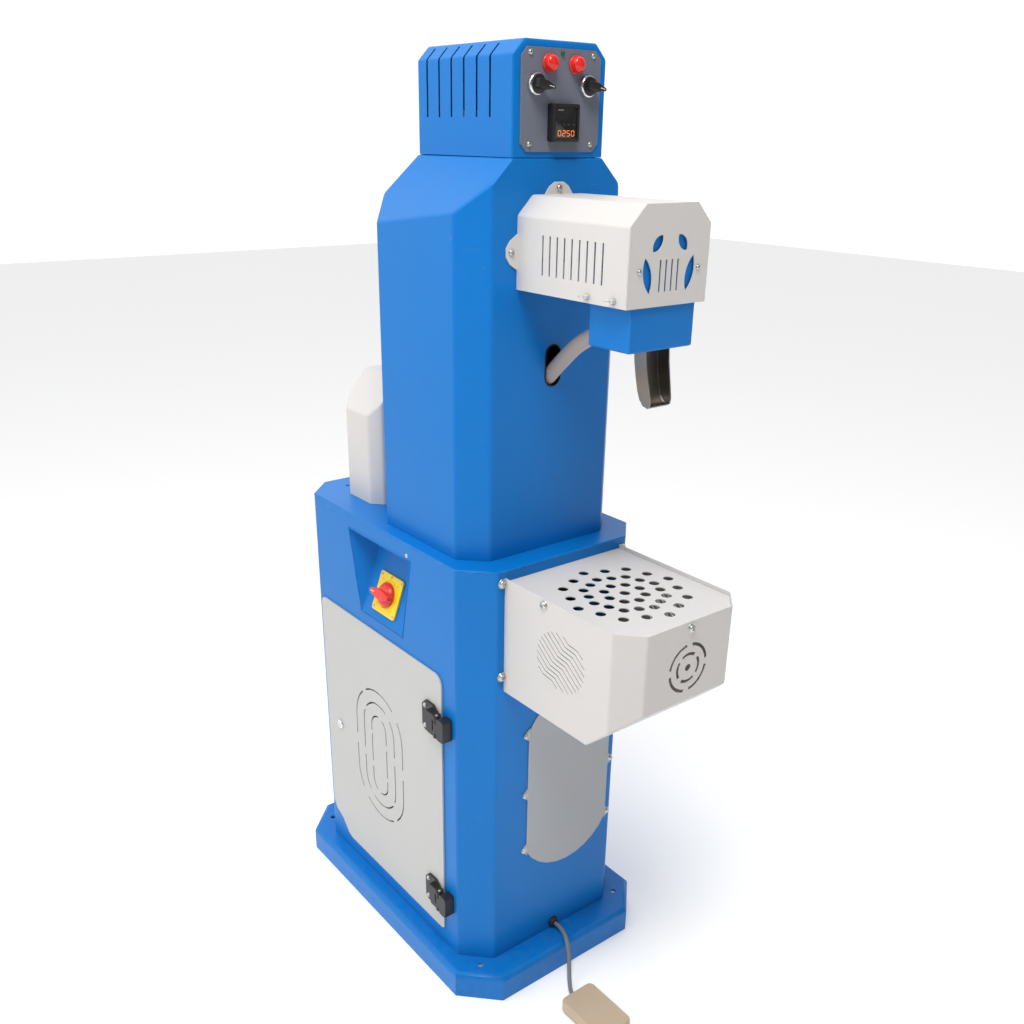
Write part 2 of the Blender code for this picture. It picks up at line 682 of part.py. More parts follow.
# ---------------------------------------------------------------- column and control box
def make_column():
    rise = (COL_TOP - COL_FRONT_EAVE) / (COL_HALF_W - COL_TOP_HALF_W)
    plan = octagon(COL_HALF_W, COL_FRONT, COL_BACK, COL_CUT)
    corners = (COL_FRONT_EAVE + rise * COL_CUT, COL_BACK_EAVE + COL_CUT)
    bm = gabled_shell(plan, CAB_TOP + GAP, (COL_FRONT_EAVE, COL_BACK_EAVE), corners, COL_TOP,
                      COL_TOP_HALF_W, (COL_FRONT, COL_TOP_BACK))
    shell = thicken(finish(soften_folds(bm), "column_shell", "blue_paint", "column"), SHEET)
    slot = [(-0.0163, SLOT_Z - 0.0169)] + arc((0, SLOT_Z - 0.0169), 0.0163, 180, 360, 10)[1:]
    slot += arc((0, SLOT_Z + 0.0169), 0.0163, 0, 180, 10)
    front = prism(slot, "y", COL_FRONT - 0.02, COL_FRONT + 0.02)
    prism(rectangle((-0.020, 1.305), (0.020, 1.350)), "y", COL_FRONT - 0.02, COL_FRONT + 0.02, front)
    cut(shell, front)
    cut(shell, prism(circle((0.0237, 1.025), 0.0235, 24), "y", COL_BACK - 0.02, COL_BACK + 0.02))
    cut(shell, prism(circle((0, -0.160), 0.025, 20), "z", COL_TOP - 0.02, COL_TOP + 0.02))

    inner = [(-0.0148, SLOT_Z - 0.0169)] + arc((0, SLOT_Z - 0.0169), 0.0148, 180, 360, 10)[1:]
    inner += arc((0, SLOT_Z + 0.0169), 0.0148, 0, 180, 10)
    outer = [(x * 0.0160 / 0.0163, SLOT_Z + (z - SLOT_Z) * 0.0329 / 0.0332) for x, z in slot]
    trim = finish(prism(outer, "y", COL_FRONT - 0.001, COL_FRONT + 0.0035), "hose_slot_trim",
                  "black_rubber", "column", origin=(0, COL_FRONT, SLOT_Z))
    cut(trim, prism(inner, "y", COL_FRONT - 0.02, COL_FRONT + 0.02))


def hood_outline(half, low, high, corner):
    return [(-half, low), (-half, high - corner), (-half + corner, high),
            (half - corner, high), (half, high - corner), (half, low)]


def make_control_box():
    outline = hood_outline(CONTROL_HALF_W, COL_TOP + GAP, CONTROL_TOP, CONTROL_CUT)
    bm = drop_faces(prism(outline, "y", CONTROL_FRONT, CONTROL_BACK), [(0, 0, -1)])
    hood = thicken(finish(soften_folds(bm, 0.003), "control_box", "blue_paint", "controls"), THIN_SHEET)
    louvres = bmesh.new()
    for side in (-1, 1):
        edges = sorted((side * 0.1, side * (CONTROL_HALF_W - CONTROL_CUT + 0.003)))
        for index in range(6):
            y = CONTROL_FRONT + 0.0500 + 0.0315 * index
            block((edges[0], y, 1.4914), (edges[1], y + 0.0045, CONTROL_TOP - 0.0045), louvres)
    cut(hood, louvres)
    opening = rectangle((-0.0645, 1.4615), (0.0645, 1.5695))
    cut(hood, prism(opening, "y", CONTROL_FRONT - 0.02, CONTROL_FRONT + 0.02))
    notch = rectangle((-0.006, 1.565), (0.006, 1.5785))
    cut(hood, prism(notch, "y", CONTROL_FRONT - 0.02, CONTROL_FRONT + 0.02))

    face = CONTROL_FRONT - GAP
    corner = 0.011
    outline = [(-PANEL_HALF_W, PANEL_BOTTOM + corner), (-PANEL_HALF_W + corner, PANEL_BOTTOM),
               (PANEL_HALF_W - corner, PANEL_BOTTOM), (PANEL_HALF_W, PANEL_BOTTOM + corner),
               (PANEL_HALF_W, PANEL_TOP - corner), (PANEL_HALF_W - corner, PANEL_TOP),
               (-PANEL_HALF_W + corner, PANEL_TOP), (-PANEL_HALF_W, PANEL_TOP - corner)]
    panel = finish(prism(outline, "y", face - PANEL_T, face), "control_panel", "panel_grey", "controls")
    holes = bmesh.new()
    for side in (-1, 1):
        prism(circle((side * LAMP_X, LAMP_Z), 0.0078, 16), "y", face - 0.01, face + 0.01, holes)
        prism(circle((side * SELECTOR_X, SELECTOR_Z), 0.0113, 20), "y", face - 0.01, face + 0.01, holes)
    prism(circle((0, 1.5735), 0.0028, 10), "y", face - 0.01, face + 0.01, holes)
    half = CONTROLLER_SIDE / 2 - 0.0012
    prism(rectangle((-half, CONTROLLER_Z - half), (half, CONTROLLER_Z + half)), "y",
          face - 0.01, face + 0.01, holes)
    cut(panel, holes)
    make_controls(face - PANEL_T)


def make_controls(skin):
    lamp = [(0, -0.030), (0.0075, -0.030), (0.0075, 0.0003), (0.0122, 0.0003), (0.0122, 0.0030),
            (0.0112, 0.0045), (0.0106, 0.0090), (0.0080, 0.0122), (0.0042, 0.0140), (0, 0.0146)]
    collar = [(0, -0.036), (0.0110, -0.036), (0.0110, 0.0003), (0.0148, 0.0003), (0.0150, 0.0035),
              (0.0140, 0.0066), (0.0120, 0.0070), (0.0118, 0.0025), (0.0040, 0.0025), (0.0040, -0.020),
              (0, -0.020)]
    knob = [(0, -0.019), (0.0036, -0.019), (0.0036, 0.0028), (0.0113, 0.0028), (0.0113, 0.0078),
            (0.0098, 0.0098), (0, 0.0098)]
    for side, word in ((-1, "left"), (1, "right")):
        at = (side * LAMP_X, skin, LAMP_Z)
        finish(turned(lamp, at, (0, -1, 0), 20), f"lamp_{word}", "red_lens", "controls", origin=at)
        at = (side * SELECTOR_X, skin, SELECTOR_Z)
        finish(turned(collar, at, (0, -1, 0), 20), f"selector_collar_{word}", "chrome", "controls",
               origin=at)
        handle = finish(turned(knob, at, (0, -1, 0), 24), f"selector_handle_{word}", "black_plastic",
                        "controls", origin=at)
        lever = [(-0.0085, -0.0045), (0.0100, -0.0050), (0.0215, -0.0022), (0.0225, 0.0),
                 (0.0215, 0.0022), (0.0100, 0.0050), (-0.0085, 0.0045)]
        tilt = Matrix.Rotation(math.radians(-10), 2)
        turned_lever = [tuple(tilt @ Vector(point)) for point in lever]
        placed = [(at[0] + u, at[2] + v) for u, v in turned_lever]
        weld(handle, prism(placed, "y", skin - 0.0190, skin - 0.0085))
    pilot = [(0, -0.012), (0.0025, -0.012), (0.0025, 0.0003), (0.0034, 0.0003), (0.0030, 0.0022),
             (0, 0.0026)]
    at = (0, skin, 1.5735)
    finish(turned(pilot, at, (0, -1, 0), 12), "pilot_light", "green_lens", "controls", origin=at)

    half = CONTROLLER_SIDE / 2
    low = (-half, CONTROLLER_Z - half)
    high = (half, CONTROLLER_Z + half)
    bm = prism(rounded(low, high, 0.003, 2), "y", skin - CONTROLLER_FACE, skin - GAP)
    controller = finish(bm, "temperature_controller", "black_plastic", "controls",
                        origin=(0, skin, CONTROLLER_Z))
    inner = half - 0.0024
    weld(controller, block((-inner, skin - 0.002, CONTROLLER_Z - inner),
                           (inner, skin + 0.060, CONTROLLER_Z + inner)))
    window = half - 0.0045
    glass = rectangle((-window, CONTROLLER_Z - window), (window, CONTROLLER_Z + window))
    cut(controller, prism(glass, "y", skin - 0.02, skin - CONTROLLER_FACE + 0.001))

    floor = COL_TOP + 0.0006
    bm = block((-0.070, -0.120, floor), (-0.030, -0.050, floor + 0.045))
    contactor = finish(bm, "heater_contactor", "board_plastic", "controls")
    weld(contactor, block((-0.064, -0.110, floor + 0.040), (-0.036, -0.060, floor + 0.062)))
    bm = block((0.025, -0.130, floor), (0.055, -0.040, floor + 0.014))
    terminals = finish(bm, "terminal_strip", "board_plastic", "controls")
    ways = bmesh.new()
    for index in range(6):
        y = -0.127 + 0.0145 * index
        block((0.030, y, floor + 0.012), (0.050, y + 0.010, floor + 0.024), ways)
    weld(terminals, ways)


# ---------------------------------------------------------------- heated arm
def make_arm():
    rear = COL_FRONT - GAP
    plate_back = ARM_FRONT + THIN_SHEET
    outline = hood_outline(ARM_HALF_W, ARM_BOTTOM, ARM_TOP, ARM_CUT)
    bm = prism(outline, "y", plate_back + GAP, rear)
    bm = drop_faces(bm, [(0, 0, -1), (0, 1, 0), (0, -1, 0)])
    cover = thicken(finish(soften_folds(bm, 0.003), "arm_cover", "cream_paint", "arm"), THIN_SHEET)
    ears = bmesh.new()
    for side in (-1, 1):
        flange = [(side * (ARM_HALF_W - 0.001), 1.2860), (side * 0.0895, 1.2960), (side * 0.0965, 1.3060),
                  (side * 0.0965, 1.3185), (side * 0.0895, 1.3285), (side * (ARM_HALF_W - 0.001), 1.3385)]
        prism(flange, "y", rear - 0.002, rear, ears)
    top = [(-0.0270, ARM_TOP - 0.001), (0.0270, ARM_TOP - 0.001), (0.0180, 1.4010), (0.0080, 1.4070),
           (-0.0080, 1.4070), (-0.0180, 1.4010)]
    prism(top, "y", rear - 0.002, rear, ears)
    weld(cover, ears)
    slots = bmesh.new()
    for side in (-1, 1):
        edges = sorted((side * (ARM_HALF_W - 0.01), side * (ARM_HALF_W + 0.01)))
        for index in range(9):
            y = -0.2953 - 0.01552 * index
            block((edges[0], y - 0.0016, 1.2857), (edges[1], y + 0.0016, 1.3397), slots)
    for y in (-0.3935, -0.4454):
        prism(circle((y, 1.268), 0.0024, 10), "x", -ARM_HALF_W - 0.01, -ARM_HALF_W + 0.01, slots)
    cut(cover, slots)

    face = finish(prism(outline, "y", ARM_FRONT, plate_back), "arm_face", "cream_paint", "arm",
                  origin=(0, ARM_FRONT, ARM_BOTTOM))
    windows = bmesh.new()
    for side in (-1, 1):
        upper = lens((side * 0.0235, 1.3405), 0.0135, 0.0075, 40 * side)
        lower = lens((side * 0.0400, 1.3000), 0.0245, 0.0080, -13 * side)
        for window in (upper, lower):
            prism(window, "y", ARM_FRONT - 0.01, ARM_FRONT + 0.01, windows)
    for x in (-0.0165, -0.0055, 0.0055, 0.0165):
        prism(rounded((x - 0.0016, 1.278), (x + 0.0016, 1.320), 0.0014, 2), "y",
              ARM_FRONT - 0.01, ARM_FRONT + 0.01, windows)
    cut(face, windows)

    channel = [(-0.030, 1.268), (-0.030, 1.300), (0.030, 1.300), (0.030, 1.268),
               (0.027, 1.268), (0.027, 1.297), (-0.027, 1.297), (-0.027, 1.268)]
    finish(prism(channel, "y", BLOCK_BACK + GAP, rear), "arm_bracket", "steel", "arm",
           origin=(0, rear, 1.284))
    for word, y in (("front", -0.4454), ("rear", -0.3935)):
        make_wing_screw(word, y)


def make_wing_screw(word, y):
    base = (-ARM_HALF_W, y, 1.268)
    shank = [(0, -0.0135), (0.0020, -0.0135), (0.0020, 0.0003), (0.0042, 0.0003), (0.0036, 0.0055),
             (0, 0.0060)]
    screw = finish(turned(shank, base, (-1, 0, 0), 12), f"wing_screw_{word}", "steel", "arm", origin=base)
    wings = bmesh.new()
    for side in (-1, 1):
        outline = [(base[0] - 0.0015, y + side * 0.0020), (base[0] - 0.0050, y + side * 0.0020),
                   (base[0] - 0.0105, y + side * 0.0075), (base[0] - 0.0100, y + side * 0.0095),
                   (base[0] - 0.0060, y + side * 0.0090), (base[0] - 0.0015, y + side * 0.0045)]
        prism(outline, "z", 1.268 - 0.0009, 1.268 + 0.0009, wings)
    weld(screw, wings)


def make_nozzle():
    bm = block((-BLOCK_HALF_W, BLOCK_FRONT, BLOCK_BOTTOM), (BLOCK_HALF_W, BLOCK_BACK, BLOCK_TOP))
    bm = soften_folds(drop_faces(bm, [(0, 0, 1)]), 0.003)
    housing = thicken(finish(bm, "nozzle_block", "blue_paint", "arm"), 0.002)
    mouth = rectangle((-0.0205, -0.4560), (0.0205, -0.4400))
    cut(housing, prism(mouth, "z", BLOCK_BOTTOM - 0.01, BLOCK_BOTTOM + 0.01))
    cut(housing, prism(circle((0, 1.2125), 0.0088, 16), "y", BLOCK_BACK - 0.01, BLOCK_BACK + 0.01))

    top = BLOCK_BOTTOM - GAP
    half = 0.0235
    wall = 0.0022
    spine = [(-0.4360, top), (-0.4375, 1.1800), (-0.4410, 1.1600), (-0.4450, 1.1420), (-0.4495, 1.1300),
             (-0.4565, 1.1220), (-0.4660, 1.1195)]
    rim = [(-0.4705, 1.1225), (-0.4715, 1.1300), (-0.4690, 1.1430), (-0.4650, 1.1620), (-0.4615, 1.1800),
           (-0.4590, top)]
    channel = [(spine[0][0] - wall, top + 0.01)]
    channel += [(y - wall, z + wall * index / 6) for index, (y, z) in enumerate(spine[1:6], start=1)]
    channel += [(-0.4645, 1.1222), (-0.4800, 1.1222), (-0.4800, top + 0.01)]

    def tapered(bm):
        for vert in bm.verts:
            vert.co.x *= 1 - 0.12 * (top - vert.co.z) / 0.079
        return bm
    scoop = finish(tapered(prism(spine + rim, "x", -half, half)), "nozzle", "steel", "arm",
                   origin=(0, -0.448, top))
    cut(scoop, tapered(prism(channel, "x", -half + wall, half - wall)))

    axis = (0, -0.424, BLOCK_BOTTOM + 0.012)
    tube = [(0.0170, 0), (0.0200, 0), (0.0200, 0.120), (0.0170, 0.120), (0.0170, 0)]
    finish(turned(tube, axis, (0, 0, 1), 24), "heater_tube", "ceramic", "arm", origin=axis)
    core = [(0, 0.004), (0.0050, 0.004)]
    for index in range(5):
        start = 0.010 + 0.021 * index
        core += [(0.0050, start), (0.0145, start), (0.0145, start + 0.005), (0.0050, start + 0.005)]
    core += [(0.0050, 0.116), (0, 0.116)]
    finish(turned(core, axis, (0, 0, 1), 12), "heater_core", "ceramic", "arm", origin=axis)


# ---------------------------------------------------------------- warm-air box
def make_box():
    rear = -CAB_HALF_L - GAP
    outline = [(rear, BOX_BOTTOM), (BOX_FLAT, BOX_BOTTOM), (BOX_FRONT, BOX_FRONT_BOTTOM),
               (BOX_FRONT, BOX_RIM), (rear, BOX_RIM)]
    bm = prism(outline, "x", -BOX_HALF_W, BOX_HALF_W)

    def front_corner(edge):
        across = abs(edge.verts[0].co.z - edge.verts[1].co.z) > 0.1
        return across and all(vert.co.y < BOX_FRONT + 1e-5 for vert in edge.verts)
    bevel_edges(bm, BOX_CUT, 1, front_corner)
    bm = drop_faces(bm, [(0, 0, 1), (0, 1, 0)])
    shell = thicken(finish(soften_folds(bm, 0.003), "box_shell", "cream_paint", "box"), THIN_SHEET)
    ears = bmesh.new()
    for side in (-1, 1):
        edge = side * (BOX_HALF_W - 0.001)
        for height in (0.649, 0.8165):
            outline = ear(edge, side * 0.1300, height, 0.0075, 80, 0.0075, 5)
            prism(outline, "y", rear - THIN_SHEET, rear, ears)
    weld(shell, ears)
    for side in (-1, 1):
        edges = sorted((side * (BOX_HALF_W - 0.001), side * (BOX_HALF_W - 0.009)))
        weld(shell, block((edges[0], -0.520, BOX_REST - 0.0015), (edges[1], -0.300, BOX_REST)))
    cut(shell, side_grilles())
    cut(shell, front_grille())

    inset = THIN_SHEET + 0.0006
    width = BOX_HALF_W - inset
    front = BOX_FRONT + inset
    corner = BOX_CUT - inset / 2
    plate = [(-width, rear), (-width, front + corner), (-width + corner, front),
             (width - corner, front), (width, front + corner), (width, rear)]
    top = finish(prism(plate, "z", BOX_REST + GAP, BOX_REST + 0.0023), "box_top", "cream_paint", "box",
                 origin=(0, -0.4255, BOX_REST))
    holes = bmesh.new()
    for x, y in hole_places():
        prism(circle((x, y - 0.4255), 0.0083, 10), "z", 0.80, 0.83, holes)
    cut(top, holes)


def hole_places():
    """One hole in the middle and three octagonal rings about it."""
    pitch = 0.032
    places = [(0.0, 0.0)]
    for ring in (1, 2, 3):
        corners = circle((0, 0), ring * pitch, 8)
        places += corners
        if ring > 1:
            for (x, y), (next_x, next_y) in zip(corners, corners[1:] + corners[:1]):
                places.append(((x + next_x) / 2, (y + next_y) / 2))
    return places


def side_grilles():
    """Slanted slots with a bend, in a round field, through both side walls."""
    field = 0.052
    along = Vector((-0.80, -0.60))
    across = Vector((-0.60, 0.80))
    slots = bmesh.new()
    for index in range(11):
        offset = (index - 5) * 0.0092
        reach = math.sqrt(field ** 2 - offset ** 2)
        path = []
        for run in (-reach, -0.010, 0.010, reach):
            bend = math.copysign(0.0055, run)
            point = Vector((-0.4206, 0.7326)) + along * run + across * (offset + bend)
            path.append(tuple(point))
        for low in (-BOX_HALF_W - 0.01, BOX_HALF_W - 0.01):
            prism(band(path, 0.0018), "x", low, low + 0.02, slots)
    return slots


def front_grille():
    """Two rings of curved slots about a round hole."""
    centre = (0, 0.748)
    slots = prism(circle(centre, 0.006, 12), "y", BOX_FRONT - 0.01, BOX_FRONT + 0.01)
    for radius, first, span in ((0.0380, 8, 74), (0.0225, 55, 70)):
        for quarter in range(4):
            start = first + 90 * quarter
            path = arc(centre, radius, start, start + span, 6)
            prism(band(path, 0.0052), "y", BOX_FRONT - 0.01, BOX_FRONT + 0.01, slots)
    return slots


def make_box_works():
    wall = -CAB_HALF_L + SHEET + GAP
    side = 0.046
    low = (-side, FAN_Z - side)
    high = (side, FAN_Z + side)
    bm = prism(rounded(low, high, 0.005, 2), "y", wall, wall + 0.025)
    frame = finish(bm, "box_fan_frame", "black_plastic", "cabinet", origin=(0, wall, FAN_Z))
    cut(frame, prism(circle((0, FAN_Z), 0.043, 32), "y", wall - 0.01, wall + 0.05))
    for half_x, half_z in ((0.044, 0.0025), (0.0025, 0.044)):
        weld(frame, block((-half_x, wall + 0.021, FAN_Z - half_z), (half_x, wall + 0.025, FAN_Z + half_z)))
    weld(frame, prism(circle((0, FAN_Z), 0.0165, 20), "y", wall + 0.0205, wall + 0.025))

    hub = [(0, 0), (0.0150, 0), (0.0165, 0.002), (0.0165, 0.017), (0, 0.017)]
    at = (0, wall + 0.002, FAN_Z)
    rotor = finish(turned(hub, at, (0, 1, 0), 20), "box_fan_rotor", "black_plastic", "cabinet", origin=at)
    blades = bmesh.new()
    for index in range(5):
        blade = block((0.0150, -0.0085, -0.0008), (0.0405, 0.0085, 0.0008))
        pitch = Matrix.Rotation(math.radians(48), 4, "X")
        place = Matrix.Translation((0, wall + 0.0105, FAN_Z))
        turn = Matrix.Rotation(math.radians(72 * index), 4, "Y")
        bmesh.ops.transform(blade, matrix=place @ turn @ pitch, verts=blade.verts)
        mesh = bpy.data.meshes.new("blade")
        blade.to_mesh(mesh)
        blade.free()
        blades.from_mesh(mesh)
        bpy.data.meshes.remove(mesh)
    weld(rotor, blades)

    z = 0.690
    route = [(-0.080, -0.262, z), (-0.080, -0.320, z), (-0.080, -0.400, z), (-0.078, -0.450, z),
             (-0.0535, -0.476, z), (-0.029, -0.450, z), (-0.027, -0.400, z), (-0.025, -0.352, z),
             (0.0, -0.327, z), (0.025, -0.352, z), (0.027, -0.400, z), (0.029, -0.450, z),
             (0.0535, -0.476, z), (0.078, -0.450, z), (0.080, -0.400, z), (0.080, -0.320, z),
             (0.080, -0.262, z)]
    hollow_pipe("box_heater", "steel", "box", route, 0.0040, None, 1)


# ---------------------------------------------------------------- blower, duct and hose
def scroll_outline(inset, neck_top):
    start_r = 0.058 - inset
    points = []
    for step in range(21):
        angle = 70 + 290 * step / 20
        radius = start_r + 0.014 * step / 20
        points.append((radius * math.cos(math.radians(angle)),
                       BLOWER_Z + radius * math.sin(math.radians(angle))))
    neck_outer = points[-1][0]
    neck_inner = 0.038 + inset
    return points + [(neck_outer, neck_top), (neck_inner, neck_top), (neck_inner, BLOWER_Z + 0.048 - inset)]


def make_blower():
    front = 0.112
    back = 0.150
    neck_top = BLOWER_Z + 0.075
    axis = (0, 0.131, BLOWER_Z)
    bm = prism(scroll_outline(0, neck_top), "y", front, back)
    housing = finish(bm, "blower_housing", "cast_metal", "blower", origin=axis)
    cut(housing, prism(scroll_outline(0.002, neck_top + 0.01), "y", front + 0.002, back - 0.002))
    cut(housing, prism(circle((0, BLOWER_Z), 0.028, 24), "y", front - 0.01, front + 0.01))
    cut(housing, prism(circle((0, BLOWER_Z), 0.0060, 16), "y", back - 0.01, back + 0.01))

    at = (0, front + 0.006, BLOWER_Z)
    wheel = [(0, 0.020), (0.0080, 0.020), (0.0080, 0.026), (0.0480, 0.026), (0.0480, 0.028),
             (0.0050, 0.028), (0.0040, 0.032), (0.0040, 0.0500), (0, 0.0500)]
    impeller = finish(turned(wheel, at, (0, 1, 0), 32), "blower_impeller", "cast_metal", "blower", origin=at)
    vanes = bmesh.new()
    for index in range(14):
        angle = math.tau * index / 14
        near = Vector((math.cos(angle), math.sin(angle))) * 0.034
        far = Vector((math.cos(angle + 0.22), math.sin(angle + 0.22))) * 0.0465
        path = [(near.x, BLOWER_Z + near.y), (far.x, BLOWER_Z + far.y)]
        prism(band(path, 0.0016), "y", at[1], at[1] + 0.027, vanes)
    weld(impeller, vanes)
    ring = [(0.0330, 0), (0.0480, 0), (0.0480, 0.0016), (0.0330, 0.0016), (0.0330, 0)]
    weld(impeller, turned(ring, at, (0, 1, 0), 32))

    body = [(0.0045, 0), (0.0290, 0), (0.0310, 0.004), (0.0310, 0.048), (0.0250, 0.054), (0, 0.054),
            (0, 0.020), (0.0045, 0.020), (0.0045, 0)]
    at = (0, back + 0.0006, BLOWER_Z)
    finish(turned(body, at, (0, 1, 0), 28), "blower_motor", "cast_metal", "blower", origin=at)

    neck = neck_top + GAP
    duct = [(0.055, 0.131, neck), (0.055, 0.1305, neck + 0.010), (0.052, 0.120, neck + 0.027),
            (0.043, 0.095, neck + 0.036), (0.025, 0.055, 1.025), (0.008, 0.020, 1.025),
            (0.0, -0.015, 1.025), (0.0, -0.050, 1.025)]
    hollow_pipe("blower_duct", "steel", "blower", duct, 0.0155, 0.0015)
    reducer = [(0.0135, 0), (0.0155, 0), (0.0155, 0.006), (0.0120, 0.016), (0.0120, 0.022),
               (0.0100, 0.022), (0.0100, 0.015), (0.0135, 0.005), (0.0135, 0)]
    at = (0, -0.0504, 1.025)
    finish(turned(reducer, at, (0, -1, 0), 20), "hose_reducer", "cast_metal", "blower", origin=at)
    hose = [(0, -0.0728, 1.025), (0, -0.083, 1.025), (0, -0.105, 1.030), (0, -0.140, 1.046),
            (0, -0.180, 1.075), (0, -0.2283, 1.1215), (0, -0.2604, 1.1513), (0, -0.2892, 1.1759),
            (0, -0.3196, 1.1945), (0, -0.3480, 1.2075), (0, -0.3700, 1.2125), (0, BLOCK_BACK + GAP, 1.2125)]
    hollow_pipe("air_hose", "hose_rubber", "arm", hose, 0.0120, 0.0025)

    plan = octagon(REAR_HALF_W, REAR_FRONT, REAR_BACK, REAR_CUT)
    rise = (REAR_TOP - REAR_EAVE) / (REAR_HALF_W - REAR_TOP_HALF_W)
    corner = REAR_EAVE + rise * REAR_CUT
    bm = gabled_shell(plan, CAB_TOP + GAP, (REAR_EAVE, REAR_EAVE), (corner, corner), REAR_TOP,
                      REAR_TOP_HALF_W, (REAR_FRONT, REAR_BACK))
    cover = thicken(finish(soften_folds(bm), "blower_cover", "cream_paint", "blower"), THIN_SHEET)
    duct_hole = circle((0.0435, neck + 0.0355), 0.0235, 24)
    cut(cover, prism(duct_hole, "y", REAR_FRONT - 0.01, REAR_FRONT + 0.01))
    slots = bmesh.new()
    for row in range(6):
        height = 0.890 + 0.016 * row
        slot = rectangle((-0.045, height), (0.045, height + 0.005))
        prism(slot, "y", REAR_BACK - 0.01, REAR_BACK + 0.01, slots)
    cut(cover, slots)


# ---------------------------------------------------------------- pedal, its cable and the glands
def make_pedal():
    shell = 0.0025
    pin = (PEDAL_X, PEDAL_BACK - 0.008, PEDAL_HINGE_Z + 0.002)
    inset = 0.0035
    low = (PEDAL_X - PEDAL_HALF_W + inset, PEDAL_FRONT + 0.0065)
    high = (PEDAL_X + PEDAL_HALF_W - inset, PEDAL_BACK - inset)
    base = finish(prism(rounded(low, high, 0.008, 3), "z", 0, 0.008), "pedal_base", "pedal_tan", "pedal")
    ears = bmesh.new()
    for side in (-1, 1):
        x = PEDAL_X + side * 0.0240
        block((x - 0.0025, pin[1] - 0.005, 0.007), (x + 0.0025, pin[1] + 0.005, pin[2] + 0.0045), ears)
    weld(base, ears)
    entry = (PEDAL_X, 0.0095)
    boss = prism(circle(entry, 0.0064, 16), "y", high[1] - 0.010, PEDAL_BACK + 0.003)
    weld(base, boss)
    cut(base, prism(circle(entry, 0.0050, 16), "y", PEDAL_BACK - 0.0005, PEDAL_BACK + 0.01))
    cut(base, prism(circle((pin[1], pin[2]), 0.0023, 12), "x", PEDAL_X - 0.05, PEDAL_X + 0.05))

    outer_low = (PEDAL_X - PEDAL_HALF_W, PEDAL_FRONT)
    outer_high = (PEDAL_X + PEDAL_HALF_W, PEDAL_BACK)
    bm = prism(rounded(outer_low, outer_high, 0.011, 4), "z", 0.0088, 0.028)
    bevel_edges(bm, 0.003, 2, lambda edge: min(v.co.z for v in edge.verts) > 0.028 - 1e-6)
    treadle = finish(bm, "pedal_treadle", "pedal_tan", "pedal", origin=pin)
    room_low = (outer_low[0] + shell, outer_low[1] + shell)
    room_high = (outer_high[0] - shell, outer_high[1] - shell)
    cut(treadle, prism(rounded(room_low, room_high, 0.0085, 4), "z", 0.0, 0.0252))
    notch = rectangle((PEDAL_X - 0.009, 0.0), (PEDAL_X + 0.009, 0.0178))
    cut(treadle, prism(notch, "y", PEDAL_BACK - 0.006, PEDAL_BACK + 0.01))
    cut(treadle, prism(circle((pin[1], pin[2]), 0.0023, 12), "x", PEDAL_X - 0.05, PEDAL_X + 0.05))

    rod = prism(circle((pin[1], pin[2]), 0.0020, 12), "x", PEDAL_X - 0.0368, PEDAL_X + 0.0368)
    finish(rod, "pedal_pin", "steel", "pedal", origin=pin)
    bm = block((PEDAL_X - 0.010, -0.485, 0.0083), (PEDAL_X + 0.010, -0.457, 0.0185))
    finish(bm, "pedal_switch", "black_plastic", "pedal")

    route = [(GROMMET_X, -0.2915, GROMMET_Z), (0.0034, -0.303, 0.0666), (0.0015, -0.317, 0.0648),
             (-0.003, -0.331, 0.0600), (-0.0085, -0.3435, 0.0505), (-0.0150, -0.3545, 0.0370),
             (-0.0225, -0.3645, 0.0240), (-0.0310, -0.3755, 0.0140), (-0.0395, -0.3875, 0.0090),
             (-0.0465, -0.3995, 0.0083), (PEDAL_X, PEDAL_BACK + 0.0005, 0.0092)]
    hollow_pipe("pedal_cable", "cable_grey", "pedal", route, CABLE_D / 2, None, 2)


def make_glands():
    wall = -CAB_HALF_L
    at = (GROMMET_X, wall, GROMMET_Z)
    bush = [(0.0043, -0.006), (0.0110, -0.006), (0.0110, -0.0029), (0.0074, -0.0029), (0.0074, 0.0003),
            (0.0110, 0.0003), (0.0105, 0.0030), (0.0070, 0.0090), (0.0043, 0.0090), (0.0043, -0.006)]
    finish(turned(bush, at, (0, -1, 0), 24), "cable_grommet", "black_rubber", "cabinet", origin=at)
    at = (-0.100, CAB_HALF_L, 0.130)
    gland = [(0.0045, -0.012), (0.0080, -0.012), (0.0080, 0.0003), (0.0120, 0.0003), (0.0120, 0.007),
             (0.0105, 0.009), (0.0100, 0.018), (0.0070, 0.022), (0.0045, 0.022), (0.0045, -0.012)]
    finish(turned(gland, at, (0, 1, 0), 20), "mains_gland", "black_plastic", "cabinet", origin=at)


# ---------------------------------------------------------------- the whole machine
def main():
    clear_scene()
    make_finishes()
    for name, place in (("base", (0, 0, 0)), ("cabinet", (0, 0, PLINTH_H)),
                        ("door_hinge_line", (HINGE_X, HINGE_Y, 0)), ("column", (0, 0, CAB_TOP)),
                        ("controls", (0, 0, COL_TOP)), ("arm", (0, COL_FRONT, ARM_BOTTOM)),
                        ("box", (0, -CAB_HALF_L, BOX_BOTTOM)), ("blower", (0, REAR_FRONT, CAB_TOP)),
                        ("pedal", (PEDAL_X, PEDAL_BACK, 0))):
        make_group(name, place)
    make_plinth()
    make_cabinet()
    make_service_plate()
    make_door()
    for prefix, height in HINGE_HEIGHTS.items():
        make_hinge(prefix, height)
    make_isolator()
    make_column()
    make_control_box()
    make_arm()
    make_nozzle()
    make_box()
    make_box_works()
    make_blower()
    make_pedal()
    make_glands()


main()
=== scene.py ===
"""Finished look of a hot-air boot machine: coats, fasteners, lamps, controls, hose, cable and pedal."""

import json
import math

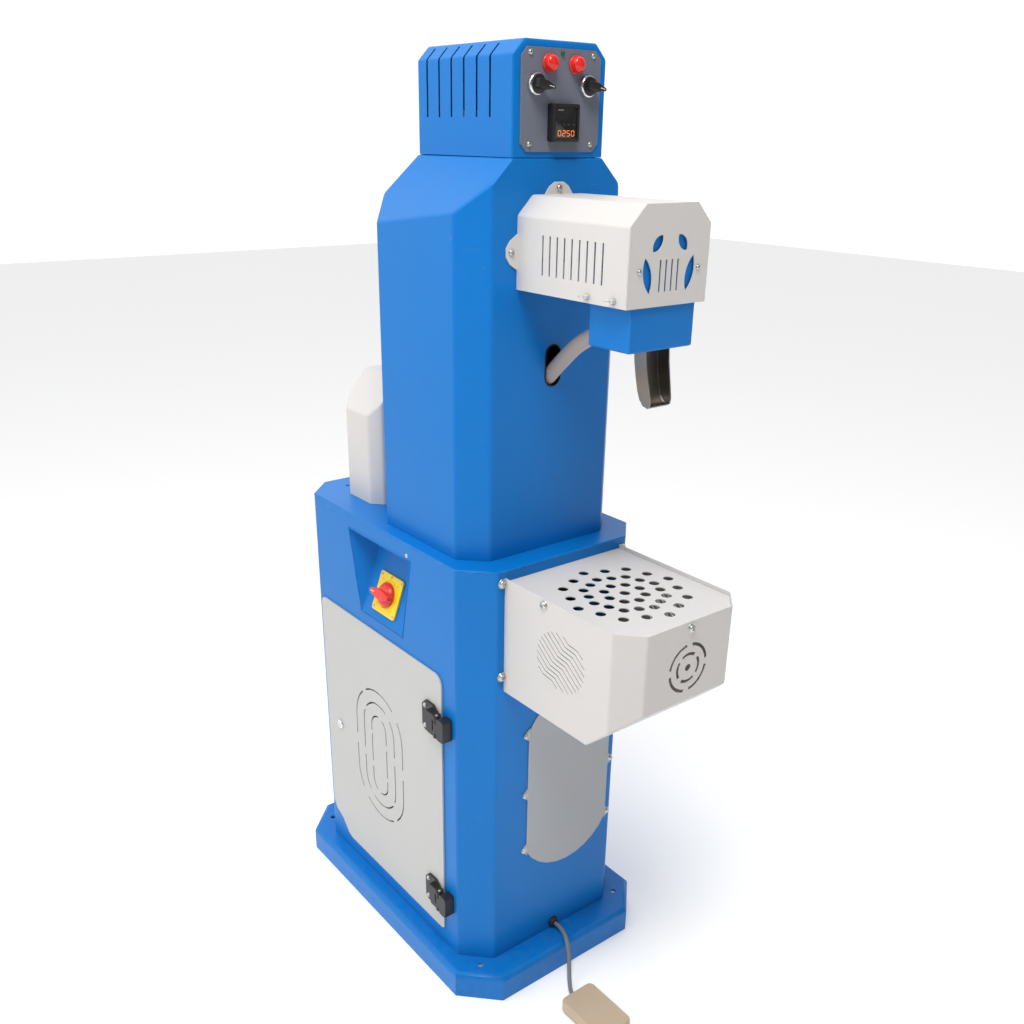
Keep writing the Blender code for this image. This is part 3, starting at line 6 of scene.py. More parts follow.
import bmesh
import bpy
from bpy.props import FloatProperty, FloatVectorProperty, PointerProperty
from bpy.types import Operator, Panel, PropertyGroup
from mathutils import Matrix, Vector


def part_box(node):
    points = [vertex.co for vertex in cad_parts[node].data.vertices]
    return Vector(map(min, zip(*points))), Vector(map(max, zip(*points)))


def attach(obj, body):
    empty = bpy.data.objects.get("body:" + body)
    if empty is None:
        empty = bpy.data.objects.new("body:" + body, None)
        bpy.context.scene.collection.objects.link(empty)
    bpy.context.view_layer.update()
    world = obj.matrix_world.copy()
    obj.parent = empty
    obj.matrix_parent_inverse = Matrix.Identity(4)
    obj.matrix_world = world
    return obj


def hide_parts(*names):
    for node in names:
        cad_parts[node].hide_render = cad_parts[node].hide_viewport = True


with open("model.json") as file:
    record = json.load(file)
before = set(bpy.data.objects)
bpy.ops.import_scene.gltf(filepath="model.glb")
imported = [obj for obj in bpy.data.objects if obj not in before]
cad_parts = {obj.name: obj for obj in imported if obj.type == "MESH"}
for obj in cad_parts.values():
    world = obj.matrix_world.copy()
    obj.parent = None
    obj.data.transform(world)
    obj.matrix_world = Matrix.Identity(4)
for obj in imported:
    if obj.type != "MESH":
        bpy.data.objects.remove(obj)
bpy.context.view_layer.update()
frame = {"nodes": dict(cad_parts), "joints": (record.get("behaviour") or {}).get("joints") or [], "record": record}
JOINTS = {joint["name"]: joint for joint in frame["joints"]}
SLOT_OF = {part["node"]: part["material_slot"] for part in frame["record"]["subparts"]}
BODY_OF = {node: body for body, nodes in frame["record"]["behaviour"]["bodies"].items() for node in nodes}
FINISHES = {}
GROUPS = {}

bl_info = {
    "name": "Hot-air boot machine finish",
    "version": (1, 0, 0),
    "blender": (4, 5, 0),
    "location": "View3D > Sidebar > Boot machine",
    "description": "Coats, fasteners, controls, hose, cable and pedal of a hot-air boot machine",
    "category": "Object",
}


# ---------------------------------------------------------------- what a user may change
def colour_property(name, description, default):
    return FloatVectorProperty(name=name, description=description, default=default,
                               subtype="COLOR", size=3, min=0.0, max=1.0)


def length_property(name, description, default):
    return FloatProperty(name=name, description=description, default=default, min=0.0,
                         subtype="DISTANCE", unit="LENGTH", precision=5)


class CoatSettings(PropertyGroup):
    blue: colour_property("Blue", "Blue powder coat of the frame and hoods", (0.0015, 0.176, 0.560))
    cream: colour_property("Warm white", "Powder coat of the arm, the box and the blower cover",
                           (0.66, 0.635, 0.61))
    door: colour_property("Door grey", "Powder coat of the door", (0.55, 0.545, 0.53))
    cover: colour_property("Cover grey", "Powder coat of the front service plate", (0.44, 0.455, 0.48))
    panel: colour_property("Panel grey", "Coat of the control panel", (0.165, 0.18, 0.225))
    hose: colour_property("Hose", "Silicone of the air hose", (0.44, 0.37, 0.34))
    pedal: colour_property("Pedal", "Moulded shell of the foot pedal", (0.55, 0.42, 0.29))
    digits: colour_property("Digits", "Lit digits of the controller", (1.0, 0.25, 0.05))
    peel_size: length_property("Orange peel size", "Distance between the coat's low waves", 0.0016)


class DetailSettings(PropertyGroup):
    fold: length_property("Sheet edge", "Rounding of cut sheet edges", 0.0004)
    moulded: length_property("Moulded edge", "Rounding of moulded plastic edges", 0.0008)
    screw_radius: length_property("Screw head radius", "Radius of the pan heads on the covers", 0.0044)
    panel_screw_radius: length_property("Panel screw radius", "Radius of the panel's screw heads", 0.0033)
    washer_gap: length_property("Head overhang", "Height of a washer under a screw head", 0.0007)


class StageSettings(PropertyGroup):
    camera_place: FloatVectorProperty(name="Camera place", description="Where the camera stands",
                                      default=(-1.0386, -1.4536, 1.4687), subtype="TRANSLATION", size=3)
    azimuth: FloatProperty(name="Azimuth", description="Turn of the view about the machine",
                           default=math.radians(-38.13), subtype="ANGLE", unit="ROTATION")
    elevation: FloatProperty(name="Elevation", description="Height of the view above level",
                             default=math.radians(23.28), subtype="ANGLE", unit="ROTATION")
    roll: FloatProperty(name="Roll", description="Lean of the camera",
                        default=math.radians(0.83), subtype="ANGLE", unit="ROTATION")
    lens: FloatProperty(name="Lens", description="Focal length on a 36 mm sensor, in millimetres",
                        default=36.015, unit="CAMERA")
    floor_tone: colour_property("Floor", "Colour of the floor", (0.95, 0.952, 0.955))
    front_light: FloatProperty(name="Front light", description="Strength of the sky in front", default=0.16)
    back_light: FloatProperty(name="Back light", description="Strength of the sky behind", default=1.10)


def settings():
    return bpy.context.scene.boot_machine_coats


def details():
    return bpy.context.scene.boot_machine_details


# ---------------------------------------------------------------- shader building
BARE_STEEL = (0.55, 0.55, 0.56, 1.0)
PALE_RUB = (0.75, 0.76, 0.78, 1.0)
DUST = (0.55, 0.55, 0.54, 1.0)
WORN_PLASTIC = (0.5, 0.5, 0.5, 1.0)
FRESH_SCRATCH = (0.75, 0.74, 0.72, 1.0)
POLISHED_RIM = (0.80, 0.79, 0.77, 1.0)
TINT_BANDS = ((0.0, (0.62, 0.60, 0.58, 1)), (0.35, (0.72, 0.60, 0.42, 1)), (0.55, (0.55, 0.40, 0.36, 1)),
              (0.75, (0.42, 0.46, 0.58, 1)), (1.0, (0.66, 0.66, 0.66, 1)))


class Nodes:
    """Adds nodes to a tree and joins them in one call each."""

    def __init__(self, tree):
        self.tree = tree

    def add(self, kind, inputs=None, **facts):
        node = self.tree.nodes.new(kind)
        for key, value in facts.items():
            setattr(node, key, value)
        for key, value in (inputs or {}).items():
            if isinstance(value, bpy.types.NodeSocket):
                self.tree.links.new(value, node.inputs[key])
            else:
                node.inputs[key].default_value = value
        return node

    def maths(self, operation, first, second, clamp=False):
        node = self.add("ShaderNodeMath", {0: first, 1: second}, operation=operation, use_clamp=clamp)
        return node.outputs[0]

    def plus(self, first, second):
        return self.maths("ADD", first, second)

    def less(self, first, second):
        return self.maths("SUBTRACT", first, second)

    def times(self, first, second, clamp=False):
        return self.maths("MULTIPLY", first, second, clamp)

    def over(self, first, second):
        return self.maths("DIVIDE", first, second)

    def between(self, value, low, high, out_low=0.0, out_high=1.0):
        node = self.add("ShaderNodeMapRange", {0: value, 1: low, 2: high, 3: out_low, 4: out_high})
        return node.outputs[0]

    def mix(self, factor, first, second, blend="MIX"):
        node = self.add("ShaderNodeMix", {0: factor, 6: first, 7: second}, data_type="RGBA", blend_type=blend)
        return node.outputs[2]

    def noise(self, scale, detail, roughness, vector=None):
        place = self.where if vector is None else vector
        node = self.add("ShaderNodeTexNoise", {"Vector": place, "Scale": scale, "Detail": detail,
                                               "Roughness": roughness})
        return node.outputs[0]

    def height(self):
        return self.add("ShaderNodeSeparateXYZ", {0: self.where}).outputs[2]


class Group(Nodes):
    """A shader node group with a Vector input, more inputs with their defaults, and named outputs."""

    def __init__(self, name, inputs, outputs):
        super().__init__(bpy.data.node_groups.new(name, "ShaderNodeTree"))
        self.tree.interface.new_socket("Vector", in_out="INPUT", socket_type="NodeSocketVector")
        for label, default in inputs.items():
            kind = "Float" if isinstance(default, float) else {3: "Vector", 4: "Color"}[len(default)]
            socket = self.tree.interface.new_socket(label, in_out="INPUT", socket_type=f"NodeSocket{kind}")
            socket.default_value = default
        for label in outputs:
            kind = "Color" if label == "Colour" else "Float"
            self.tree.interface.new_socket(label, in_out="OUTPUT", socket_type=f"NodeSocket{kind}")
        self.given = self.add("NodeGroupInput").outputs
        self.out = self.add("NodeGroupOutput").inputs
        self.where = self.given["Vector"]

    def give(self, label, socket):
        self.tree.links.new(socket, self.out[label])

    def give_mask(self, first, second):
        self.give("Mask", self.times(self.times(first, second), self.given["Amount"], True))

    def give_height(self, total):
        self.give("Height", self.times(total, self.given["Depth"]))


def orange_peel():
    """Low even waves of a sprayed powder coat, as a height in metres."""
    group = Group("Orange peel", {"Size": 0.0016, "Depth": 0.00003}, ("Height",))
    scale = group.over(1.0, group.given["Size"])
    slow = group.noise(group.times(scale, 0.21), 1.0, 0.5)
    group.give_height(group.plus(group.noise(scale, 1.5, 0.4), group.times(slow, 1.6)))
    return group.tree


def tone_drift():
    """Slow change of tone over a surface, lighter and darker by a small amount."""
    group = Group("Tone drift", {"Colour": (1.0, 1.0, 1.0, 1.0), "Scale": 5.0, "Amount": 0.06},
                  ("Colour", "Drift"))
    cloud = group.noise(group.given["Scale"], 4.0, 0.55)
    factor = group.plus(1.0, group.times(group.less(cloud, 0.5), group.times(group.given["Amount"], 4.0)))
    grey = group.add("ShaderNodeCombineColor", {0: factor, 1: factor, 2: factor}).outputs[0]
    group.give("Colour", group.mix(1.0, group.given["Colour"], grey, "MULTIPLY"))
    group.give("Drift", cloud)
    return group.tree


def scuffs():
    """Short fine rubs in two directions, as a mask."""
    group = Group("Scuffs", {"Scale": 30.0, "Amount": 0.3}, ("Mask",))
    rubs = []
    for turn, stretch in ((0.5, (1.0, 1.0, 14.0)), (-0.9, (12.0, 1.0, 1.6))):
        place = group.add("ShaderNodeMapping", {"Vector": group.where, "Scale": stretch,
                                                "Rotation": (turn, turn * 0.6, turn)}).outputs[0]
        rubs.append(group.between(group.noise(group.given["Scale"], 3.0, 0.6, place), 0.66, 0.74))
    patches = group.between(group.noise(7.0, 2.0, 0.5), 0.50, 0.68)
    group.give_mask(group.maths("MAXIMUM", *rubs), patches)
    return group.tree


def floor_dust():
    """Dust that fades out upwards from the floor, as a mask."""
    group = Group("Floor dust", {"Reach": 0.12, "Amount": 0.35}, ("Mask",))
    fade = group.between(group.over(group.height(), group.given["Reach"]), 0.0, 1.0, 1.0, 0.0)
    group.give_mask(fade, group.between(group.noise(60.0, 5.0, 0.65), 0.38, 0.72))
    return group.tree


def edge_wear():
    """Where a rounded corner is rubbed: the surface's normal against that of a wider rounding."""
    group = Group("Edge wear", {"Width": 0.0015, "Amount": 0.5}, ("Mask",))
    rounding = group.add("ShaderNodeBevel", {"Radius": group.given["Width"]}, samples=4).outputs[0]
    true = group.add("ShaderNodeNewGeometry").outputs["Normal"]
    agree = group.add("ShaderNodeVectorMath", {0: rounding, 1: true}, operation="DOT_PRODUCT")
    corner = group.between(agree.outputs["Value"], 0.995, 0.90)
    group.give_mask(corner, group.between(group.noise(55.0, 4.0, 0.7), 0.42, 0.60))
    return group.tree


def brushing():
    """Fine parallel lines of drawn or brushed metal: a height in metres and a mask."""
    group = Group("Brushing", {"Stretch": (1.0, 1.0, 0.02), "Scale": 900.0, "Depth": 0.00001},
                  ("Height", "Mask"))
    place = group.add("ShaderNodeMapping", {"Vector": group.where, "Scale": group.given["Stretch"]})
    lines = group.noise(group.given["Scale"], 4.0, 0.6, place.outputs[0])
    group.give_height(lines)
    group.give("Mask", lines)
    return group.tree


def moulded_grain():
    """Fine pitted grain of moulded plastic or rubber, as a height in metres."""
    group = Group("Moulded grain", {"Size": 0.0005, "Depth": 0.00002}, ("Height",))
    scale = group.over(1.0, group.given["Size"])
    cells = group.add("ShaderNodeTexVoronoi", {"Vector": group.where, "Scale": scale}, feature="SMOOTH_F1")
    fine = group.noise(group.times(scale, 1.7), 3.0, 0.6)
    group.give_height(group.plus(cells.outputs["Distance"], group.times(fine, 0.6)))
    return group.tree


def heat_tint():
    """Straw to blue tint of steel that has been hot, from a low level up to a high one."""
    group = Group("Heat tint", {"Colour": (0.5, 0.5, 0.5, 1.0), "Low": 1.12, "High": 1.20}, ("Colour",))
    steel, low, high = (group.given[label] for label in ("Colour", "Low", "High"))
    share = group.over(group.less(group.height(), low), group.less(high, low))
    wander = group.times(group.less(group.noise(35.0, 4.0, 0.6), 0.5), 0.7)
    bands = group.add("ShaderNodeValToRGB", {0: group.plus(share, wander)})
    ramp = bands.color_ramp
    ramp.elements[0].position, ramp.elements[0].color = TINT_BANDS[0]
    ramp.elements[1].position, ramp.elements[1].color = TINT_BANDS[-1]
    for position, colour in TINT_BANDS[1:-1]:
        ramp.elements.new(position).color = colour
    tinted = group.mix(1.0, steel, bands.outputs[0], "MULTIPLY")
    group.give("Colour", group.mix(0.6, steel, tinted))
    return group.tree


def make_groups():
    for name, make in (("peel", orange_peel), ("drift", tone_drift), ("scuffs", scuffs), ("dust", floor_dust),
                       ("wear", edge_wear), ("brushing", brushing), ("grain", moulded_grain),
                       ("tint", heat_tint)):
        GROUPS[name] = make()


class Surface(Nodes):
    """A material with a Principled shader whose varied inputs are filled by the shared groups."""

    def __init__(self, name, colour, roughness, metallic=0.0, **constants):
        FINISHES[name] = material = bpy.data.materials.new(name)
        material.use_nodes = True
        super().__init__(material.node_tree)
        self.shader = self.tree.nodes["Principled BSDF"]
        self.where = self.add("ShaderNodeTexCoord").outputs["Object"]
        self.colour = (*colour, 1.0)
        plain = {"Base_Color": self.colour, "Roughness": roughness, "Metallic": metallic}
        for key, value in (plain | constants).items():
            self.shader.inputs[key.replace("_", " ")].default_value = value

    def use(self, group, **inputs):
        node = self.add("ShaderNodeGroup", {"Vector": self.where} | inputs, node_tree=GROUPS[group])
        return node.outputs

    def feed(self, label, socket):
        self.tree.links.new(socket, self.shader.inputs[label])

    def relief(self, height):
        self.feed("Normal", self.add("ShaderNodeBump", {"Height": height, "Strength": 1.0,
                                                        "Distance": 1.0}).outputs[0])


def powder_coat(name, colour, roughness, drift=0.035, dust=0.0):
    """Sprayed and baked coat over sheet steel, rubbed a little at the corners."""
    coat = Surface(name, colour, roughness, Specular_IOR_Level=0.24, IOR=1.5)
    toned = coat.use("drift", Colour=coat.colour, Scale=4.0, Amount=drift)
    wear = coat.use("wear", Width=0.0012, Amount=0.30)["Mask"]
    body = coat.mix(wear, toned["Colour"], coat.mix(0.55, toned["Colour"], BARE_STEEL))
    rubs = coat.use("scuffs", Scale=26.0, Amount=0.22)["Mask"]
    body = coat.mix(rubs, body, coat.mix(0.25, toned["Colour"], PALE_RUB))
    rough = coat.plus(roughness - 0.06, coat.times(toned["Drift"], 0.12))
    rough = coat.plus(rough, coat.times(rubs, 0.25))
    if dust:
        film = coat.use("dust", Reach=0.10, Amount=dust)["Mask"]
        body = coat.mix(film, body, DUST)
        rough = coat.plus(rough, coat.times(film, 0.35))
    coat.feed("Base Color", body)
    coat.feed("Roughness", rough)
    coat.relief(coat.use("peel", Size=settings().peel_size, Depth=0.000035)["Height"])


def moulding(name, colour, roughness, size=0.0006, depth=0.00002, **constants):
    """Moulded plastic or rubber with a fine grain."""
    plastic = Surface(name, colour, roughness, **constants)
    toned = plastic.use("drift", Colour=plastic.colour, Scale=18.0, Amount=0.03)
    rubs = plastic.use("scuffs", Scale=60.0, Amount=0.25)["Mask"]
    paler = plastic.mix(0.35, toned["Colour"], WORN_PLASTIC)
    plastic.feed("Base Color", plastic.mix(rubs, toned["Colour"], paler))
    plastic.feed("Roughness", plastic.plus(roughness - 0.05, plastic.times(toned["Drift"], 0.10)))
    plastic.relief(plastic.use("grain", Size=size, Depth=depth)["Height"])


def bare_metal(name, colour, roughness, stretch=(1.0, 1.0, 1.0), scale=900.0, depth=0.000012, tint=None):
    """Bare metal with drawn lines, and a heat tint where one is given as a low and a high level."""
    metal = Surface(name, colour, roughness, 1.0)
    lines = metal.use("brushing", Stretch=stretch, Scale=scale, Depth=depth)
    body = metal.use("drift", Colour=metal.colour, Scale=22.0, Amount=0.08)["Colour"]
    if tint:
        body = metal.use("tint", Colour=body, Low=tint[0], High=tint[1])["Colour"]
    body = metal.mix(metal.use("scuffs", Scale=70.0, Amount=0.35)["Mask"], body, FRESH_SCRATCH)
    rubbed = metal.use("wear", Width=0.0010, Amount=0.8)["Mask"]
    metal.feed("Base Color", metal.mix(rubbed, body, POLISHED_RIM))
    metal.feed("Roughness", metal.plus(roughness - 0.08, metal.times(lines["Mask"], 0.18)))
    metal.relief(lines["Height"])


def lit_surface(name, colour, roughness, scale, amount, strength):
    """A surface that also gives light in its own colour."""
    lit = Surface(name, colour, roughness, Emission_Strength=strength)
    tone = lit.use("drift", Colour=lit.colour, Scale=scale, Amount=amount)["Colour"]
    lit.feed("Base Color", tone)
    lit.feed("Emission Color", tone)


def make_finishes():
    coats = settings()
    powder_coat("blue_paint", coats.blue, 0.36, dust=0.05)
    powder_coat("cream_paint", coats.cream, 0.46, drift=0.022)
    powder_coat("door_grey", coats.door, 0.48, drift=0.022, dust=0.05)
    powder_coat("cover_grey", coats.cover, 0.46, drift=0.025)
    powder_coat("panel_grey", coats.panel, 0.52, drift=0.03)
    moulding("black_plastic", (0.011, 0.011, 0.013), 0.42)
    moulding("black_rubber", (0.016, 0.016, 0.016), 0.72, size=0.0009, depth=0.00004)
    moulding("red_plastic", (0.80, 0.040, 0.024), 0.34, size=0.0005, depth=0.00001)
    moulding("yellow_plastic", (0.92, 0.66, 0.010), 0.38, size=0.0005, depth=0.00001)
    moulding("board_plastic", (0.45, 0.45, 0.42), 0.50)
    moulding("ceramic", (0.70, 0.64, 0.55), 0.72, size=0.0004, depth=0.00003)
    moulding("hose_rubber", coats.hose, 0.50, size=0.0012, depth=0.00003, Sheen_Weight=0.15)
    moulding("cable_grey", (0.20, 0.21, 0.22), 0.55, size=0.0004, depth=0.000012)
    moulding("pedal_tan", coats.pedal, 0.46, size=0.0007, depth=0.00003)
    moulding("red_lens", (0.88, 0.022, 0.016), 0.14, size=0.002, depth=0.000006,
             Transmission_Weight=0.08, IOR=1.49, Coat_Weight=0.3)
    moulding("green_lens", (0.012, 0.11, 0.05), 0.2, size=0.002, depth=0.000006, Coat_Weight=0.3)
    moulding("display_glass", (0.010, 0.009, 0.009), 0.10, size=0.004, depth=0.000004, Coat_Weight=0.5)
    moulding("white_mark", (0.75, 0.75, 0.73), 0.5)
    moulding("faded_mark", (0.16, 0.16, 0.17), 0.5)
    moulding("dark_segments", (0.022, 0.019, 0.019), 0.35)
    drawn = (1.0, 1.0, 0.04)
    bare_metal("chrome", (0.78, 0.78, 0.79), 0.16, scale=500.0, depth=0.000003)
    bare_metal("zinc", (0.62, 0.62, 0.60), 0.34, scale=700.0, depth=0.000008)
    bare_metal("steel", (0.50, 0.49, 0.47), 0.34, drawn)
    bare_metal("hot_steel", (0.30, 0.29, 0.28), 0.36, drawn, 800.0, 0.000014, tint=(1.115, 1.215))
    bare_metal("cast_metal", (0.42, 0.43, 0.44), 0.50, scale=420.0, depth=0.00003)
    lit_surface("lit_digits", coats.digits, 0.4, 120.0, 0.05, 0.75)
    lit_surface("studio_floor", bpy.context.scene.boot_machine_stage.floor_tone, 0.8, 0.6, 0.006, 0.20)


# ---------------------------------------------------------------- mesh building
def facing(place, direction, up=(0, 0, 1)):
    """A frame at a place whose Z points along a direction and whose Y is as near up as it can be."""
    out = Vector(direction).normalized()
    aid = Vector(up)
    if abs(aid.normalized().dot(out)) > 0.99:
        aid = Vector((0, 1, 0))
    right = aid.cross(out).normalized()
    turn = Matrix((right, out.cross(right), out)).transposed().to_4x4()
    return Matrix.Translation(Vector(place)) @ turn


def joint_frame(name):
    return facing(JOINTS[name]["pos_m"], JOINTS[name]["axis"])


def rounded(bm, made, edges, width, segments):
    """Rounds edges of the vertices made so far, and gives all the vertices that are left."""
    result = bmesh.ops.bevel(bm, geom=list(dict.fromkeys(edges)), offset=width, offset_type="OFFSET",
                             affect="EDGES", segments=segments, profile=0.5, material=-1, clamp_overlap=True)
    return list({vert for vert in made if vert.is_valid} | set(result["verts"]))


def turned(bm, profile, matrix=Matrix.Identity(4), steps=32):
    """Spins a profile of (radius, along) points about the frame's Z."""
    verts = [bm.verts.new((radius, 0.0, along)) for radius, along in profile]
    edges = [bm.edges.new(pair) for pair in zip(verts, verts[1:])]
    before = set(bm.verts) - set(verts)
    bmesh.ops.spin(bm, geom=verts + edges, cent=(0, 0, 0), axis=(0, 0, 1), dvec=(0, 0, 0),
                   angle=math.tau, steps=steps, use_merge=True, use_duplicate=False)
    made = [vert for vert in bm.verts if vert not in before]
    bmesh.ops.remove_doubles(bm, verts=made, dist=1e-6)
    made = [vert for vert in bm.verts if vert not in before]
    bmesh.ops.recalc_face_normals(bm, faces=list({face for vert in made for face in vert.link_faces}))
    bmesh.ops.transform(bm, matrix=matrix, verts=made)


def slab(bm, outline, low, high, matrix=Matrix.Identity(4), edge=0.0, segments=2):
    """A flat outline given depth along the frame's Z, with its rims rounded."""
    verts = [bm.verts.new((x, y, low)) for x, y in outline]
    base = bm.faces.new(verts)
    grown = bmesh.ops.extrude_face_region(bm, geom=[base], use_keep_orig=True)["geom"]
    top = [item for item in grown if isinstance(item, bmesh.types.BMVert)]
    bmesh.ops.translate(bm, vec=(0, 0, high - low), verts=top)
    made = verts + top
    faces = list({face for vert in made for face in vert.link_faces})
    bmesh.ops.recalc_face_normals(bm, faces=faces)
    if edge:
        rims = [item for face in faces if abs(face.normal.z) > 0.9 for item in face.edges]
        made = rounded(bm, made, rims, edge, segments)
    bmesh.ops.transform(bm, matrix=matrix, verts=made)


def brick(bm, low, high, matrix=Matrix.Identity(4)):
    """An upright block between two corners."""
    size = Vector(high) - Vector(low)
    middle = (Vector(high) + Vector(low)) / 2
    made = bmesh.ops.create_cube(bm, size=1.0)["verts"]
    bmesh.ops.transform(bm, matrix=matrix @ Matrix.Translation(middle) @ Matrix.Diagonal((*size, 1.0)),
                        verts=made)


def round_outline(half_w, half_h, radius, steps=6, centre=(0.0, 0.0)):
    """A rectangle with round corners, anticlockwise."""
    points = []
    for quarter, (side, level) in enumerate(((1, 1), (-1, 1), (-1, -1), (1, -1))):
        for step in range(steps + 1):
            angle = math.radians(90 * (quarter + step / steps))
            points.append((centre[0] + side * (half_w - radius) + radius * math.cos(angle),
                           centre[1] + level * (half_h - radius) + radius * math.sin(angle)))
    return points


def mm(*pairs):
    """Points given in millimetres, as points in metres."""
    return [(x / 1000, y / 1000) for x, y in pairs]


def smooth_points(route, steps):
    """A smooth curve through the route's points."""
    places = [Vector(place) for place in route]
    padded = [2 * places[0] - places[1]] + places + [2 * places[-1] - places[-2]]
    points = []
    for index in range(len(places) - 1):
        a, b, c, d = padded[index:index + 4]
        for step in range(steps):
            t = step / steps
            points.append(0.5 * (2 * b + (c - a) * t + (2 * a - 5 * b + 4 * c - d) * t * t
                                 + (3 * b - a - 3 * c + d) * t ** 3))
    return points + [places[-1]]


def mesh_of(bm, name):
    mesh = bpy.data.meshes.new(name)
    bm.to_mesh(mesh)
    bm.free()
    return mesh


def added(name, data):
    obj = bpy.data.objects.new(name, data)
    bpy.context.scene.collection.objects.link(obj)
    return obj


def round_bead(name, points, radius, finish, resolution):
    """A round bead or lead along points, as a curve of one spline."""
    curve = bpy.data.curves.new(name, "CURVE")
    curve.dimensions = "3D"
    curve.bevel_depth = radius
    curve.bevel_resolution = resolution
    spline = curve.splines.new("POLY")
    spline.points.add(len(points) - 1)
    for knot, point in zip(spline.points, points):
        knot.co = (*point, 1.0)
    curve.materials.append(FINISHES[finish])
    return added(name, curve), spline


def piece_from(bm, name, finish, body, nodes=(), sharp=35):
    """Turns a bmesh into a finished piece that rides on a body and stands for CAD nodes."""
    mesh = mesh_of(bm, name)
    mesh.shade_smooth()
    mesh.set_sharp_from_angle(angle=math.radians(sharp))
    mesh.materials.append(FINISHES[finish])
    obj = added(name, mesh)
    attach(obj, body)
    if nodes:
        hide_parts(*nodes)
    return obj


def merged_copy(node):
    """A CAD node's mesh with its loose triangles joined and its flat faces made whole."""
    bm = bmesh.new()
    bm.from_mesh(frame["nodes"][node].data)
    bmesh.ops.remove_doubles(bm, verts=bm.verts, dist=2e-6)
    bmesh.ops.dissolve_limit(bm, angle_limit=math.radians(0.4), use_dissolve_boundaries=False,
                             verts=bm.verts, edges=bm.edges, delimit=set())
    return bm


def ease(obj, width, angle=42):
    """Rounds a piece's sharp edges and evens the shading of its flats."""
    rounding = obj.modifiers.new("eased edges", "BEVEL")
    rounding.width = width
    rounding.segments = 2
    rounding.limit_method = "ANGLE"
    rounding.angle_limit = math.radians(angle)
    obj.modifiers.new("even shading", "WEIGHTED_NORMAL").keep_sharp = True
    return obj


def finish_sheet(node, edge=None, finish=None, angle=42):
    """A CAD shell with smooth folds and its cut edges eased."""
    obj = piece_from(merged_copy(node), f"{node}_finished", finish or SLOT_OF[node], BODY_OF[node], (node,))
    width = details().fold if edge is None else edge
    return ease(obj, width, angle) if width else obj


def carved(shape, tool):
    """Cuts one closed shape out of another and gives what is left as a new bmesh."""
    rough = [added("rough", mesh_of(source, "rough")) for source in (shape, tool)]
    boolean = rough[0].modifiers.new("cut", "BOOLEAN")
    boolean.operation = "DIFFERENCE"
    boolean.solver = "EXACT"
    boolean.object = rough[1]
    evaluated = rough[0].evaluated_get(bpy.context.evaluated_depsgraph_get())
    mesh = bpy.data.meshes.new_from_object(evaluated)
    left = bmesh.new()
    left.from_mesh(mesh)
    used = [mesh] + [obj.data for obj in rough]
    for obj in rough:
        bpy.data.objects.remove(obj)
    for item in used:
        bpy.data.meshes.remove(item)
    return left


def copies(bm, prototype, frames):
    """Adds a copy of a prototype mesh at each frame."""
    for matrix in frames:
        before = set(bm.verts)
        bm.from_mesh(prototype)
        bmesh.ops.transform(bm, matrix=matrix, verts=[vert for vert in bm.verts if vert not in before])


# ---------------------------------------------------------------- stage
LIGHTS = (("key", (-3.0, 0.5, 3.0), 1.6, 16.0), ("fill", (1.2, -3.4, 2.4), 2.6, 2.0),
          ("top", (-1.2, -1.4, 4.0), 1.6, 84.0))  # name, place, width in metres, watts
LIGHT_AIM = Vector((0.0, -0.1, 0.85))
FLOOR_REACH = 12.0
SENSOR_WIDTH = 36.0
FRAME_SHIFT = (0.0042, 0.062)
SKY_TURN = (-0.40, 0.25)  # where the sky changes from its front strength to its back strength


